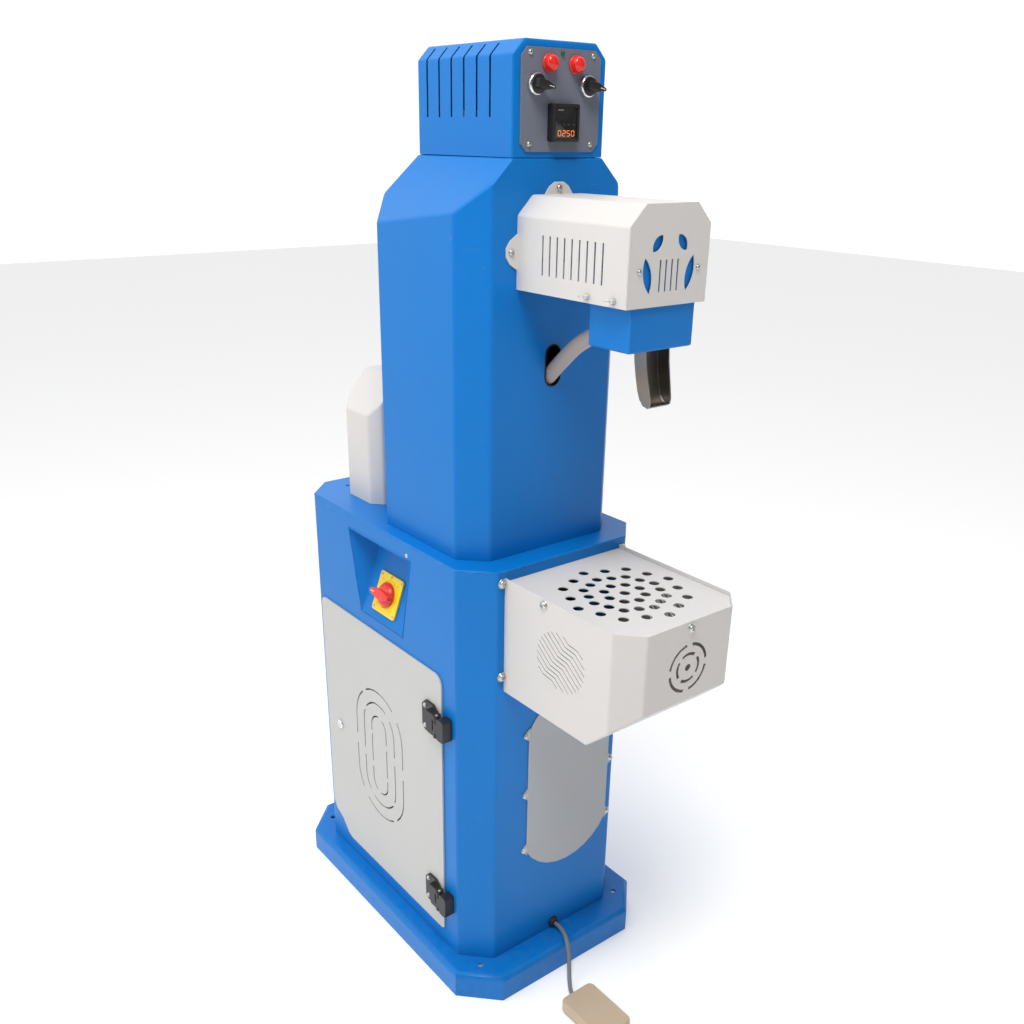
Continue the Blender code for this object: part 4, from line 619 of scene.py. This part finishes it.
class BOOTMACHINE_OT_stage(Operator):
    """Pale floor, soft studio lights and the camera"""

    bl_idname = "boot_machine.stage"
    bl_label = "Stage"

    def execute(self, context):
        stage = context.scene.boot_machine_stage
        self.add_camera(context, stage)
        context.scene.view_settings.view_transform = "Standard"
        bm = bmesh.new()
        bmesh.ops.create_grid(bm, x_segments=2, y_segments=2, size=FLOOR_REACH)
        mesh = mesh_of(bm, "studio_floor")
        mesh.materials.append(FINISHES["studio_floor"])
        floor = added("studio_floor", mesh)
        self.add_sky(context, stage)
        for name, place, size, power in LIGHTS:
            light = bpy.data.lights.new(name, "AREA")
            light.shape = "DISK"
            light.size = size
            light.energy = power
            lamp = added(name, light)
            lamp.location = place
            lamp.rotation_euler = (LIGHT_AIM - Vector(place)).to_track_quat("-Z", "Y").to_euler()
        return {"FINISHED"}

    def add_sky(self, context, stage):
        """A white room that gives more light from behind, and looks plain white from everywhere."""
        world = bpy.data.worlds.new("studio_air")
        world.use_nodes = True
        backdrop = world.node_tree.nodes["Background"]
        backdrop.inputs["Color"].default_value = (1.0, 1.0, 1.0, 1.0)
        air = Nodes(world.node_tree)
        direction = air.add("ShaderNodeTexCoord").outputs["Generated"]
        depth = air.add("ShaderNodeSeparateXYZ", {0: direction}).outputs[1]
        lit = air.between(depth, *SKY_TURN, stage.front_light, stage.back_light)
        seen = air.add("ShaderNodeLightPath").outputs["Is Camera Ray"]
        air.tree.links.new(air.maths("MAXIMUM", lit, seen), backdrop.inputs["Strength"])
        context.scene.world = world

    def add_camera(self, context, stage):
        data = bpy.data.cameras.new("camera")
        data.sensor_width = SENSOR_WIDTH
        data.lens = stage.lens
        data.shift_x, data.shift_y = FRAME_SHIFT
        data.clip_start = 0.05
        data.clip_end = 60.0
        flat = math.cos(stage.elevation)
        back = Vector((math.sin(stage.azimuth) * flat, -math.cos(stage.azimuth) * flat,
                       math.sin(stage.elevation)))
        level = Vector((math.cos(stage.azimuth), math.sin(stage.azimuth), 0.0))
        right = level * math.cos(stage.roll) + back.cross(level) * math.sin(stage.roll)
        turn = Matrix((right, back.cross(right), back)).transposed().to_4x4()
        camera = added("camera", data)
        camera.matrix_world = Matrix.Translation(Vector(stage.camera_place)) @ turn
        context.scene.camera = camera


# ---------------------------------------------------------------- cable and pedal
class BOOTMACHINE_OT_pedal(Operator):
    """Foot pedal and the cable between it and the cabinet"""

    bl_idname = "boot_machine.pedal"
    bl_label = "Pedal and cable"

    def execute(self, context):
        treadle = self.add_treadle()
        base = finish_sheet("pedal_base", edge=0.0005)
        pin = finish_sheet("pedal_pin", edge=0.0003, finish="zinc")
        switch = finish_sheet("pedal_switch", edge=0.0008)
        mouth = Vector((0.0035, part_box("cable_grommet")[0].y - 0.0005, 0.0668))
        entry = Vector((-0.0502, -0.4134, 0.0092))
        route = [mouth, (0.0034, -0.303, 0.0666), (0.0015, -0.317, 0.0648), (-0.003, -0.331, 0.0600),
                 (-0.0085, -0.3435, 0.0505), (-0.0150, -0.3545, 0.0370), (-0.0225, -0.3645, 0.0240),
                 (-0.0310, -0.3755, 0.0140), (-0.0395, -0.3875, 0.0090), (-0.0465, -0.3995, 0.0083), entry]
        diameter = 0.008
        points = smooth_points(route, 10)
        lead, spline = round_bead("pedal_lead", points, diameter / 2, "cable_grey", 6)
        lead.data.use_fill_caps = True
        spline.use_smooth = True
        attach(lead, "machine")
        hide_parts("pedal_cable")
        return {"FINISHED"}

    def add_treadle(self):
        """A hollow shell with round top edges, notched for the cable and bored for its pin."""
        low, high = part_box("pedal_treadle")
        middle = (low + high) / 2
        half = (high - low) / 2
        wall = 0.0025
        roof = 0.0028
        corner = 0.011
        rounding = 0.0034
        centre = (middle.x, middle.y)
        shell = bmesh.new()
        slab(shell, round_outline(half.x, half.y, corner, 10, centre), low.z, high.z)
        rim = [edge for edge in shell.edges if min(vert.co.z for vert in edge.verts) > high.z - 1e-5]
        rounded(shell, [], rim, rounding, 5)
        room = bmesh.new()
        slab(room, round_outline(half.x - wall, half.y - wall, corner - wall, 8, centre), 0.0, high.z - roof)
        notch = bmesh.new()
        side = 0.009
        brick(notch, (middle.x - side, high.y - 0.006, 0.0), (middle.x + side, high.y + 0.01, 0.0178))
        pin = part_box("pedal_pin")
        bore = 0.0023
        across = facing((pin[0] + pin[1]) / 2, (1, 0, 0))
        turned(notch, [(0, -0.05), (bore, -0.05), (bore, 0.05), (0, 0.05)], across, 20)
        shell = carved(carved(shell, room), notch)
        return piece_from(shell, "treadle_shell", "pedal_tan", "treadle", ("pedal_treadle",), sharp=32)


# ---------------------------------------------------------------- cabinet, column and hoods
class BOOTMACHINE_OT_sheet_metal(Operator):
    """Coated plinth, cabinet, column, hoods and covers, with smooth folds and eased edges"""

    bl_idname = "boot_machine.sheet_metal"
    bl_label = "Sheet metal"

    def execute(self, context):
        for node in ("plinth", "cabinet_shell", "cabinet_top", "cabinet_rear_panel", "service_plate",
                     "column_shell", "control_box", "control_panel", "arm_cover", "arm_face", "box_shell",
                     "blower_cover", "nozzle_block", "isolator_pocket"):
            finish_sheet(node)
        finish_sheet("arm_bracket", finish="zinc")
        self.add_pocket_seam()
        for node in ("hose_slot_trim", "cable_grommet", "mains_gland"):
            finish_sheet(node, edge=0.0003, angle=50)
        return {"FINISHED"}

    def add_pocket_seam(self):
        """A painted weld bead round the pocket's mouth, which is narrower at its foot."""
        low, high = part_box("isolator_pocket")
        head = high.y + 0.0002
        foot = 0.0704
        foot_level = low.z - 0.0009
        head_level = high.z + 0.0005
        mouth = [(low.x, -foot, foot_level), (low.x, foot, foot_level), (low.x, head, head_level),
                 (low.x, -head, head_level)]
        seam, spline = round_bead("pocket_seam", mouth, 0.0014, "blue_paint", 3)
        spline.use_cyclic_u = True
        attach(seam, "machine")


class BOOTMACHINE_OT_door(Operator):
    """Door, hinges and lock"""

    bl_idname = "boot_machine.door"
    bl_label = "Door"

    def execute(self, context):
        finish_sheet("door")
        for prefix in ("upper", "lower"):
            for half in ("frame_half", "door_half"):
                finish_sheet(f"{prefix}_hinge_{half}", edge=details().moulded, angle=50)
            finish_sheet(f"{prefix}_hinge_pin", edge=0.0003, finish="zinc")
        finish_sheet("door_lock_body", edge=0.0003, angle=50)
        finish_sheet("door_lock_core", edge=0.0002, angle=50)
        return {"FINISHED"}


class BOOTMACHINE_OT_isolator(Operator):
    """Isolator plate and its turning handle on the pocket's slope"""

    bl_idname = "boot_machine.isolator"
    bl_label = "Isolator"

    def execute(self, context):
        slope = joint_frame("isolator_turn")
        plate = bmesh.new()
        half = 0.0372
        top = 0.0042
        slab(plate, round_outline(half, half, 0.005, 8), 0.0003, top, slope, edge=0.0009, segments=3)
        turned(plate, mm((24.3, 3.5), (24.3, 5.2), (25, 5.8), (27, 5.8), (27.7, 5.2), (27.7, 3.5),
                         (24.3, 3.5)), slope, 64)
        piece_from(plate, "isolator_face", "yellow_plastic", "machine", ("isolator_plate",))
        marks = bmesh.new()
        ink = top - 0.0001
        turned(marks, [(0.0016, ink), (0.0016, 0.0044), (0.0023, 0.0044), (0.0023, ink), (0.0016, ink)],
               slope @ Matrix.Translation((0.0, 0.0333, 0.0)), 24)
        slab(marks, round_outline(0.0026, 0.0004, 0.0003, 2, (-0.0332, 0.0)), ink, 0.0044, slope)
        for angle in (45, 135, 225, 315):
            turn = Matrix.Rotation(math.radians(angle), 4, "Z") @ Matrix.Translation((0.0335, 0.0, 0.0))
            slab(marks, round_outline(0.0018, 0.0003, 0.0002, 2), ink, 0.0043, slope @ turn)
        piece_from(marks, "isolator_marks", "black_plastic", "machine")

        handle = bmesh.new()
        turned(handle, mm((0, -14), (4, -14), (4, 5), (21.7, 5), (22.5, 5.8), (22.5, 8), (21.3, 10.5),
                          (18.4, 14), (14.5, 17.2), (9, 19.4), (0, 20.3)), slope, 64)
        grip = mm((-30, 0), (-29.6, -2.8), (-27.5, -4.2), (-21, -5.6), (-11, -8.2), (0, -9.2), (11, -8.2),
                  (21, -5.6), (27.5, -4.2), (29.6, -2.8), (30, 0))
        grip += [(x, -y) for x, y in reversed(grip[1:-1])]
        slab(handle, grip, 0.0095, 0.0248, slope, edge=0.0022, segments=4)
        piece_from(handle, "isolator_grip", "red_plastic", "isolator_knob", ("isolator_handle",), sharp=40)
        pointer = bmesh.new()
        slab(pointer, round_outline(0.0055, 0.0007, 0.0005, 3, (-0.0185, 0.0)), 0.0246, 0.0250, slope)
        piece_from(pointer, "isolator_pointer", "white_mark", "isolator_knob")
        return {"FINISHED"}


# ---------------------------------------------------------------- control panel
SEGMENTS = {"0": "abcdef", "2": "abged", "5": "afgcd", "8": "abcdefg"}  # lit bars of each numeral
SHOWN_VALUE = "0250"
DIGIT_START, DIGIT_PITCH = -0.0122, 0.0082
FLUTE_STEPS = 32  # upright lines that are counted round a turned rim


class BOOTMACHINE_OT_controls(Operator):
    """Selectors, lamps and the temperature controller on the panel"""

    bl_idname = "boot_machine.controls"
    bl_label = "Controls"

    def execute(self, context):
        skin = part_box("control_panel")[0].y
        for word in ("left", "right"):
            self.add_lamp(word, skin)
            self.add_selector(word, skin)
        self.add_controller(skin)
        finish_sheet("pilot_light", edge=0.0003, angle=50)
        return {"FINISHED"}

    def add_lamp(self, word, skin):
        low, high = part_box(f"lamp_{word}")
        frame_at = on_panel((low + high) / 2, skin)
        lens = bmesh.new()
        turned(lens, mm((0, 2.5), (10.9, 2.5), (10.9, 7.2), (10.3, 8), (10.3, 9.6), (9.5, 11.4), (7.8, 13),
                        (5, 14.2), (2, 14.6), (0, 14.6)), frame_at, 64)
        flutes(lens, frame_at, 0.0106, 0.0112, 0.00028)
        collar = bmesh.new()
        turned(collar, mm((0, -30), (7.5, -30), (7.5, 0.3), (11.6, 0.3), (12.2, 0.9), (12.2, 2.6),
                          (11.6, 3.4), (0, 3.4)), frame_at, 48)
        piece_from(lens, f"lamp_{word}_lens", "red_lens", "machine", (f"lamp_{word}",))
        piece_from(collar, f"lamp_{word}_collar", "red_plastic", "machine")

    def add_selector(self, word, skin):
        frame_at = on_panel(JOINTS[f"{word}_selector_turn"]["pos_m"], skin)
        collar = bmesh.new()
        turned(collar, mm((0, -36), (11, -36), (11, 0.3), (14.3, 0.3), (15, 0.8), (15, 4), (14.6, 5.4),
                          (13.6, 6.6), (12.6, 7), (12, 6.4), (11.8, 2.5), (4, 2.5), (4, -20), (0, -20)),
               frame_at, 96)
        flutes(collar, frame_at, 0.0149, 0.0151, 0.00025)
        piece_from(collar, f"selector_bezel_{word}", "chrome", "machine", (f"selector_collar_{word}",))
        knob = bmesh.new()
        turned(knob, mm((0, -19), (3.6, -19), (3.6, 2.8), (11.3, 2.8), (11.3, 7), (12.4, 7.3), (12.7, 8),
                        (12.4, 8.9), (11, 9.6), (0, 10)), frame_at, 48)
        tilt = frame_at @ Matrix.Rotation(math.radians(-10), 4, "Z")
        lever = mm((-10, -5.6), (1, -6.4), (8.5, -5.8), (15, -3.8), (21.3, -2.2), (22.5, -1))
        lever += [(x, -y) for x, y in reversed(lever)]
        slab(knob, lever, 0.0085, 0.0190, tilt, edge=0.0015, segments=3)
        body = f"{word}_selector"
        piece_from(knob, f"selector_lever_{word}", "black_plastic", body, (f"selector_handle_{word}",),
                   sharp=40)
        line = bmesh.new()
        slab(line, round_outline(0.0045, 0.0005, 0.0004, 3, (0.0145, 0.0)), 0.0189, 0.0192, tilt)
        piece_from(line, f"selector_line_{word}", "white_mark", body)

    def add_controller(self, skin):
        low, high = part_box("temperature_controller")
        face = on_panel((low + high) / 2, skin)
        half = (high.x - low.x) / 2
        window = half - 0.0045
        proud = skin - low.y
        case = bmesh.new()
        slab(case, round_outline(half, half, 0.003, 6), 0.0003, proud, face, edge=0.0008, segments=3)
        glass_room = bmesh.new()
        slab(glass_room, round_outline(window, window, 0.001, 3), proud - 0.0015, proud + 0.01, face)
        case = carved(case, glass_room)
        inner = half - 0.0024
        brick(case, (-inner, -inner, skin - high.y), (inner, inner, 0.0008), face)
        piece_from(case, "controller_case", "black_plastic", "machine", ("temperature_controller",))
        glass = bmesh.new()
        pane = proud - 0.0009
        slab(glass, round_outline(window - 0.0002, window - 0.0002, 0.001, 3), proud - 0.0017, pane, face,
             edge=0.0002)
        surface = face @ Matrix.Translation((0.0, 0.0, pane))
        piece_from(glass, "controller_window", "display_glass", "machine")
        lit = bmesh.new()
        for column, digit in enumerate(SHOWN_VALUE):
            add_digit(lit, digit, surface, DIGIT_START + DIGIT_PITCH * column, -0.0135, 0.0050, 0.0070)
        piece_from(lit, "controller_digits", "lit_digits", "machine")
        dark = bmesh.new()
        for column in range(len(SHOWN_VALUE)):
            add_digit(dark, "8", surface, DIGIT_START + DIGIT_PITCH * column, 0.0070, 0.0050, 0.0085)
            key = round_outline(0.0028, 0.0013, 0.0006, 3, (-0.0135 + 0.0090 * column, -0.0020))
            slab(dark, key, -0.0001, 0.0006, surface, edge=0.0002)
        piece_from(dark, "controller_keys", "dark_segments", "machine")
        label = bmesh.new()
        slab(label, round_outline(0.0050, 0.0009, 0.0003, 2, (-0.0105, 0.0165)), -0.0001, 0.0002, surface)
        piece_from(label, "controller_label", "faded_mark", "machine")


def on_panel(place, skin):
    """A frame on the control panel's skin that faces outwards, in front of a place."""
    return facing((place[0], skin, place[2]), (0, -1, 0))


def flutes(bm, frame_at, low, high, depth):
    """Presses every second upright line of a turned rim inwards."""
    inverse = frame_at.inverted()
    for vert in bm.verts:
        place = inverse @ vert.co
        radius = math.hypot(place.x, place.y)
        if low < radius < high:
            around = round(math.atan2(place.y, place.x) / math.tau * FLUTE_STEPS)
            if around % 2:
                share = 1 - depth / radius
                vert.co = frame_at @ Vector((place.x * share, place.y * share, place.z))


def add_digit(bm, digit, surface, x, y, width, height):
    """One seven-bar numeral, its bars a little apart."""
    half = 0.00075 / 2
    reach_x = width / 2
    reach_y = height / 2
    bars = {"a": (x, y + reach_y, False), "g": (x, y, False), "d": (x, y - reach_y, False),
            "b": (x + reach_x, y + reach_y / 2, True), "c": (x + reach_x, y - reach_y / 2, True),
            "f": (x - reach_x, y + reach_y / 2, True), "e": (x - reach_x, y - reach_y / 2, True)}
    for name in SEGMENTS[digit]:
        bar_x, bar_y, upright = bars[name]
        tip = (reach_y if upright else width) / 2 - 0.0002
        shoulder = tip - half
        bar = [(-tip, 0), (-shoulder, -half), (shoulder, -half), (tip, 0), (shoulder, half),
               (-shoulder, half)]
        if upright:
            bar = [(-across, along) for along, across in bar]
        slab(bm, [(bar_x + along, bar_y + across) for along, across in bar], -0.0002, 0.0003, surface)


# ---------------------------------------------------------------- arm, box top and fasteners
WING_OUTLINE = ((0.0020, 0.0015), (0.0045, 0.0015), (0.0072, 0.0040), (0.0092, 0.0062), (0.0098, 0.0088),
                (0.0090, 0.0104), (0.0076, 0.0104), (0.0056, 0.0082), (0.0034, 0.0056), (0.0020, 0.0050))


class BOOTMACHINE_OT_arm_details(Operator):
    """Hot nozzle, wing screws and the air hose"""

    bl_idname = "boot_machine.arm_details"
    bl_label = "Nozzle, wing screws and hose"

    def execute(self, context):
        finish_sheet("nozzle", edge=0.0005, finish="hot_steel", angle=50)
        for word in ("front", "rear"):
            self.add_wing_screw(word)
        self.add_hose()
        return {"FINISHED"}

    def add_wing_screw(self, word):
        joint = JOINTS[f"{word}_wing_screw_turn"]
        arm_side = -0.0754
        base = facing((arm_side, joint["pos_m"][1], joint["pos_m"][2]), (-1, 0, 0))
        screw = bmesh.new()
        turned(screw, mm((0, -13.5), (2, -13.5), (2, 0.3), (4.4, 0.3), (4.4, 1), (4, 3), (3.4, 5.2),
                         (2.4, 6), (0, 6.2)), base, 32)
        across = base @ Matrix.Rotation(math.radians(90), 4, "X")
        for side in (-1, 1):
            wing = [(side * out, up) for out, up in WING_OUTLINE[::side]]
            slab(screw, wing, -0.0010, 0.0010, across, edge=0.0005, segments=3)
        piece_from(screw, f"wing_screw_{word}_cast", "zinc", f"{word}_wing_screw", (f"wing_screw_{word}",))

    def add_hose(self):
        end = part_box("nozzle_block")[1].y
        route = [(0, -0.0728, 1.025), (0, -0.083, 1.025), (0, -0.105, 1.030), (0, -0.140, 1.046),
                 (0, -0.180, 1.075), (0, -0.2283, 1.1215), (0, -0.2604, 1.1513), (0, -0.2892, 1.1759),
                 (0, -0.3196, 1.1945), (0, -0.3480, 1.2075), (0, -0.3700, 1.2125), (0, end + 0.0003, 1.2125)]
        points = smooth_points(route, 8)
        tube = bmesh.new()
        rings = []
        for index, point in enumerate(points):
            ahead = points[min(index + 1, len(points) - 1)]
            behind = points[max(index - 1, 0)]
            along = facing(point, ahead - behind, (1, 0, 0))
            made = bmesh.ops.create_circle(tube, cap_ends=False, segments=36, radius=0.012)["verts"]
            bmesh.ops.transform(tube, matrix=along, verts=made)
            rings.append(list({edge for vert in made for edge in vert.link_edges}))
        for first, second in zip(rings, rings[1:]):
            bmesh.ops.bridge_loops(tube, edges=first + second)
        bmesh.ops.recalc_face_normals(tube, faces=tube.faces)
        hose = piece_from(tube, "air_hose_wall", "hose_rubber", "machine", ("air_hose",), sharp=60)
        wall = hose.modifiers.new("wall", "SOLIDIFY")
        wall.thickness = 0.0025
        wall.offset = -1.0
        wall.use_even_offset = True


class BOOTMACHINE_OT_box_top(Operator):
    """Perforated top of the warm-air box"""

    bl_idname = "boot_machine.box_top"
    bl_label = "Perforated box top"

    def execute(self, context):
        low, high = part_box("box_top")
        corner_cut = 0.0338
        plate = bmesh.new()
        outline = [(low.x, high.y), (low.x, low.y + corner_cut), (low.x + corner_cut, low.y),
                   (high.x - corner_cut, low.y), (high.x, low.y + corner_cut), (high.x, high.y)]
        slab(plate, outline, low.z, high.z)
        hole_radius = 0.0083
        pattern_middle = -0.4255
        punch = bmesh.new()
        for x, y in self.hole_places(0.032):
            made = bmesh.ops.create_cone(punch, cap_ends=True, segments=36, radius1=hole_radius,
                                         radius2=hole_radius, depth=0.02)["verts"]
            bmesh.ops.translate(punch, vec=(x, y + pattern_middle, low.z), verts=made)
        ease(piece_from(carved(plate, punch), "perforated_top", "cream_paint", "box_grille", ("box_top",)),
             0.0003)
        return {"FINISHED"}

    def hole_places(self, pitch):
        """Eight-sided rings round a middle hole, with more holes between the outer rings' corners."""
        places = [(0.0, 0.0)]
        for ring in (1, 2, 3):
            reach = ring * pitch
            corners = [(reach * math.cos(math.tau * k / 8), reach * math.sin(math.tau * k / 8))
                       for k in range(8)]
            places += corners
            if ring > 1:
                places += [((x + next_x) / 2, (y + next_y) / 2)
                           for (x, y), (next_x, next_y) in zip(corners, corners[1:] + corners[:1])]
        return places


class BOOTMACHINE_OT_fasteners(Operator):
    """Screws, rivets and washers that hold the covers"""

    bl_idname = "boot_machine.fasteners"
    bl_label = "Fasteners"

    def execute(self, context):
        radius = details().screw_radius
        pan = self.screw(radius)
        small = self.screw(details().panel_screw_radius)
        large = self.screw(radius * 1.45)
        front, rear, left, right = (0, -1, 0), (0, 1, 0), (-1, 0, 0), (1, 0, 0)
        sides = (-1, 1)
        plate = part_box("service_plate")[0].y
        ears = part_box("box_shell")[1].y - 0.0015
        box_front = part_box("box_shell")[0].y
        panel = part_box("control_panel")[0].y
        arm_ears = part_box("arm_cover")[1].y - 0.002
        arm_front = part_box("arm_face")[0].y
        rear_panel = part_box("cabinet_rear_panel")[1].y
        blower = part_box("blower_cover")[1].y
        heads = bmesh.new()
        for screw, out, places in (
                (large, front, [(side * 0.1300, ears, z) for side in sides for z in (0.649, 0.8165)]),
                (pan, front, [(x, plate, z) for x in (-0.0732, 0.1318) for z in (0.2706, 0.3906, 0.5143)]),
                (large, front, [(0.0, box_front, 0.8128)]),
                (large, left, [(-0.1246, -0.379, 0.8139)]),
                (large, right, [(0.1246, -0.379, 0.8139)]),
                (small, front, [(side * 0.0575, panel, z) for side in sides for z in (1.457, 1.573)]),
                (pan, front, [(side * 0.0872, arm_ears, 1.3122) for side in sides]),
                (pan, front, [(0.0, arm_ears, 1.3985)]),
                (small, front, [(side * 0.0554, arm_front, 1.3065) for side in sides]),
                (pan, rear, [(side * 0.120, rear_panel, z) for side in sides for z in (0.306, 0.545, 0.784)]),
                (pan, rear, [(side * 0.098, blower, 0.8500) for side in sides])):
            copies(heads, screw, [facing(place, out) for place in places])
        piece_from(heads, "cover_screws", "zinc", "machine", sharp=40)
        self.add_isolator_screws(small)
        self.add_hinge_screws(small)
        for mesh in (pan, small, large):
            bpy.data.meshes.remove(mesh)
        return {"FINISHED"}

    def screw(self, radius):
        """A pan head with a cross recess, over a washer."""
        gap = details().washer_gap
        top = gap + radius * 0.62
        head = bmesh.new()
        turned(head, [(0, gap), (radius, gap), (radius, gap + radius * 0.20),
                      (radius * 0.93, gap + radius * 0.38), (radius * 0.78, gap + radius * 0.51),
                      (radius * 0.50, gap + radius * 0.59), (0, top)], steps=28)
        reach = radius * 0.55
        half = radius * 0.11
        for turn in (35, 125):
            slot = bmesh.new()
            brick(slot, (-reach, -half, top - radius * 0.36), (reach, half, top + radius),
                  Matrix.Rotation(math.radians(turn), 4, "Z"))
            head = carved(head, slot)
        turned(head, [(0, 0), (radius * 1.28, 0), (radius * 1.32, gap * 0.4), (radius * 1.28, gap), (0, gap)],
               steps=28)
        return mesh_of(head, "screw")

    def add_isolator_screws(self, small):
        """Four small screws at the plate's corners, and one rivet by the pocket."""
        slope = joint_frame("isolator_turn")
        plate_top = 0.0042
        reach = 0.0312
        heads = bmesh.new()
        copies(heads, small, [slope @ Matrix.Translation((x, y, plate_top)) @ Matrix.Scale(0.62, 4)
                              for x in (-reach, reach) for y in (-reach, reach)])
        rivet = facing((-0.1870, -0.0920, 0.8150), (-1, 0, 0))
        turned(heads, mm((0, 0), (4, 0), (3.8, 0.8), (2.6, 1.6), (0, 2)), rivet, 24)
        piece_from(heads, "isolator_screws", "zinc", "machine", sharp=40)

    def add_hinge_screws(self, small):
        leaf_thickness = 0.0048
        for prefix in ("upper", "lower"):
            low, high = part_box(f"{prefix}_hinge_door_half")
            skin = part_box("door")[0].x - leaf_thickness
            heads = bmesh.new()
            copies(heads, small, [facing((skin, high.y - 0.0095, z), (-1, 0, 0))
                                  for z in (low.z + 0.0100, high.z - 0.0100)])
            piece_from(heads, f"{prefix}_hinge_screws", "zinc", "door", sharp=40)


class BOOTMACHINE_OT_inside(Operator):
    """Blower, heaters, fans and electrical gear"""

    bl_idname = "boot_machine.inside"
    bl_label = "Inside"

    def execute(self, context):
        for node in ("blower_housing", "blower_impeller", "blower_motor", "hose_reducer", "blower_duct",
                     "box_fan_frame", "box_fan_rotor", "heater_tube", "heater_core", "heater_contactor",
                     "terminal_strip", "isolator_body", "box_heater"):
            finish_sheet(node, edge=0.0)
        return {"FINISHED"}


OPERATORS = (BOOTMACHINE_OT_stage, BOOTMACHINE_OT_pedal, BOOTMACHINE_OT_sheet_metal, BOOTMACHINE_OT_door,
             BOOTMACHINE_OT_isolator, BOOTMACHINE_OT_controls, BOOTMACHINE_OT_arm_details,
             BOOTMACHINE_OT_box_top, BOOTMACHINE_OT_fasteners, BOOTMACHINE_OT_inside)


class BOOTMACHINE_PT_sidebar(Panel):
    """Lists the machine's pieces in the sidebar"""

    bl_label = "Boot machine"
    bl_idname = "BOOTMACHINE_PT_sidebar"
    bl_space_type = "VIEW_3D"
    bl_region_type = "UI"
    bl_category = "Boot machine"

    def draw(self, context):
        column = self.layout.column()
        for operator in OPERATORS:
            column.operator(operator.bl_idname)
        for group in ("boot_machine_coats", "boot_machine_details", "boot_machine_stage"):
            values = getattr(context.scene, group)
            for key in values.__annotations__:
                column.prop(values, key)


CLASSES = (CoatSettings, DetailSettings, StageSettings, *OPERATORS, BOOTMACHINE_PT_sidebar)


def register():
    for item in CLASSES:
        bpy.utils.register_class(item)
    bpy.types.Scene.boot_machine_coats = PointerProperty(type=CoatSettings)
    bpy.types.Scene.boot_machine_details = PointerProperty(type=DetailSettings)
    bpy.types.Scene.boot_machine_stage = PointerProperty(type=StageSettings)


def unregister():
    del bpy.types.Scene.boot_machine_stage
    del bpy.types.Scene.boot_machine_details
    del bpy.types.Scene.boot_machine_coats
    for item in reversed(CLASSES):
        bpy.utils.unregister_class(item)


def clear_start_objects():
    for name in ("Cube", "Light", "Camera"):
        if name in bpy.data.objects:
            bpy.data.objects.remove(bpy.data.objects[name])


def main():
    register()
    clear_start_objects()
    make_groups()
    make_finishes()
    bpy.ops.boot_machine.stage()
    bpy.ops.boot_machine.pedal()
    bpy.ops.boot_machine.sheet_metal()
    bpy.ops.boot_machine.door()
    bpy.ops.boot_machine.isolator()
    bpy.ops.boot_machine.controls()
    bpy.ops.boot_machine.arm_details()
    bpy.ops.boot_machine.box_top()
    bpy.ops.boot_machine.fasteners()
    bpy.ops.boot_machine.inside()


if __name__ == "__main__":
    main()
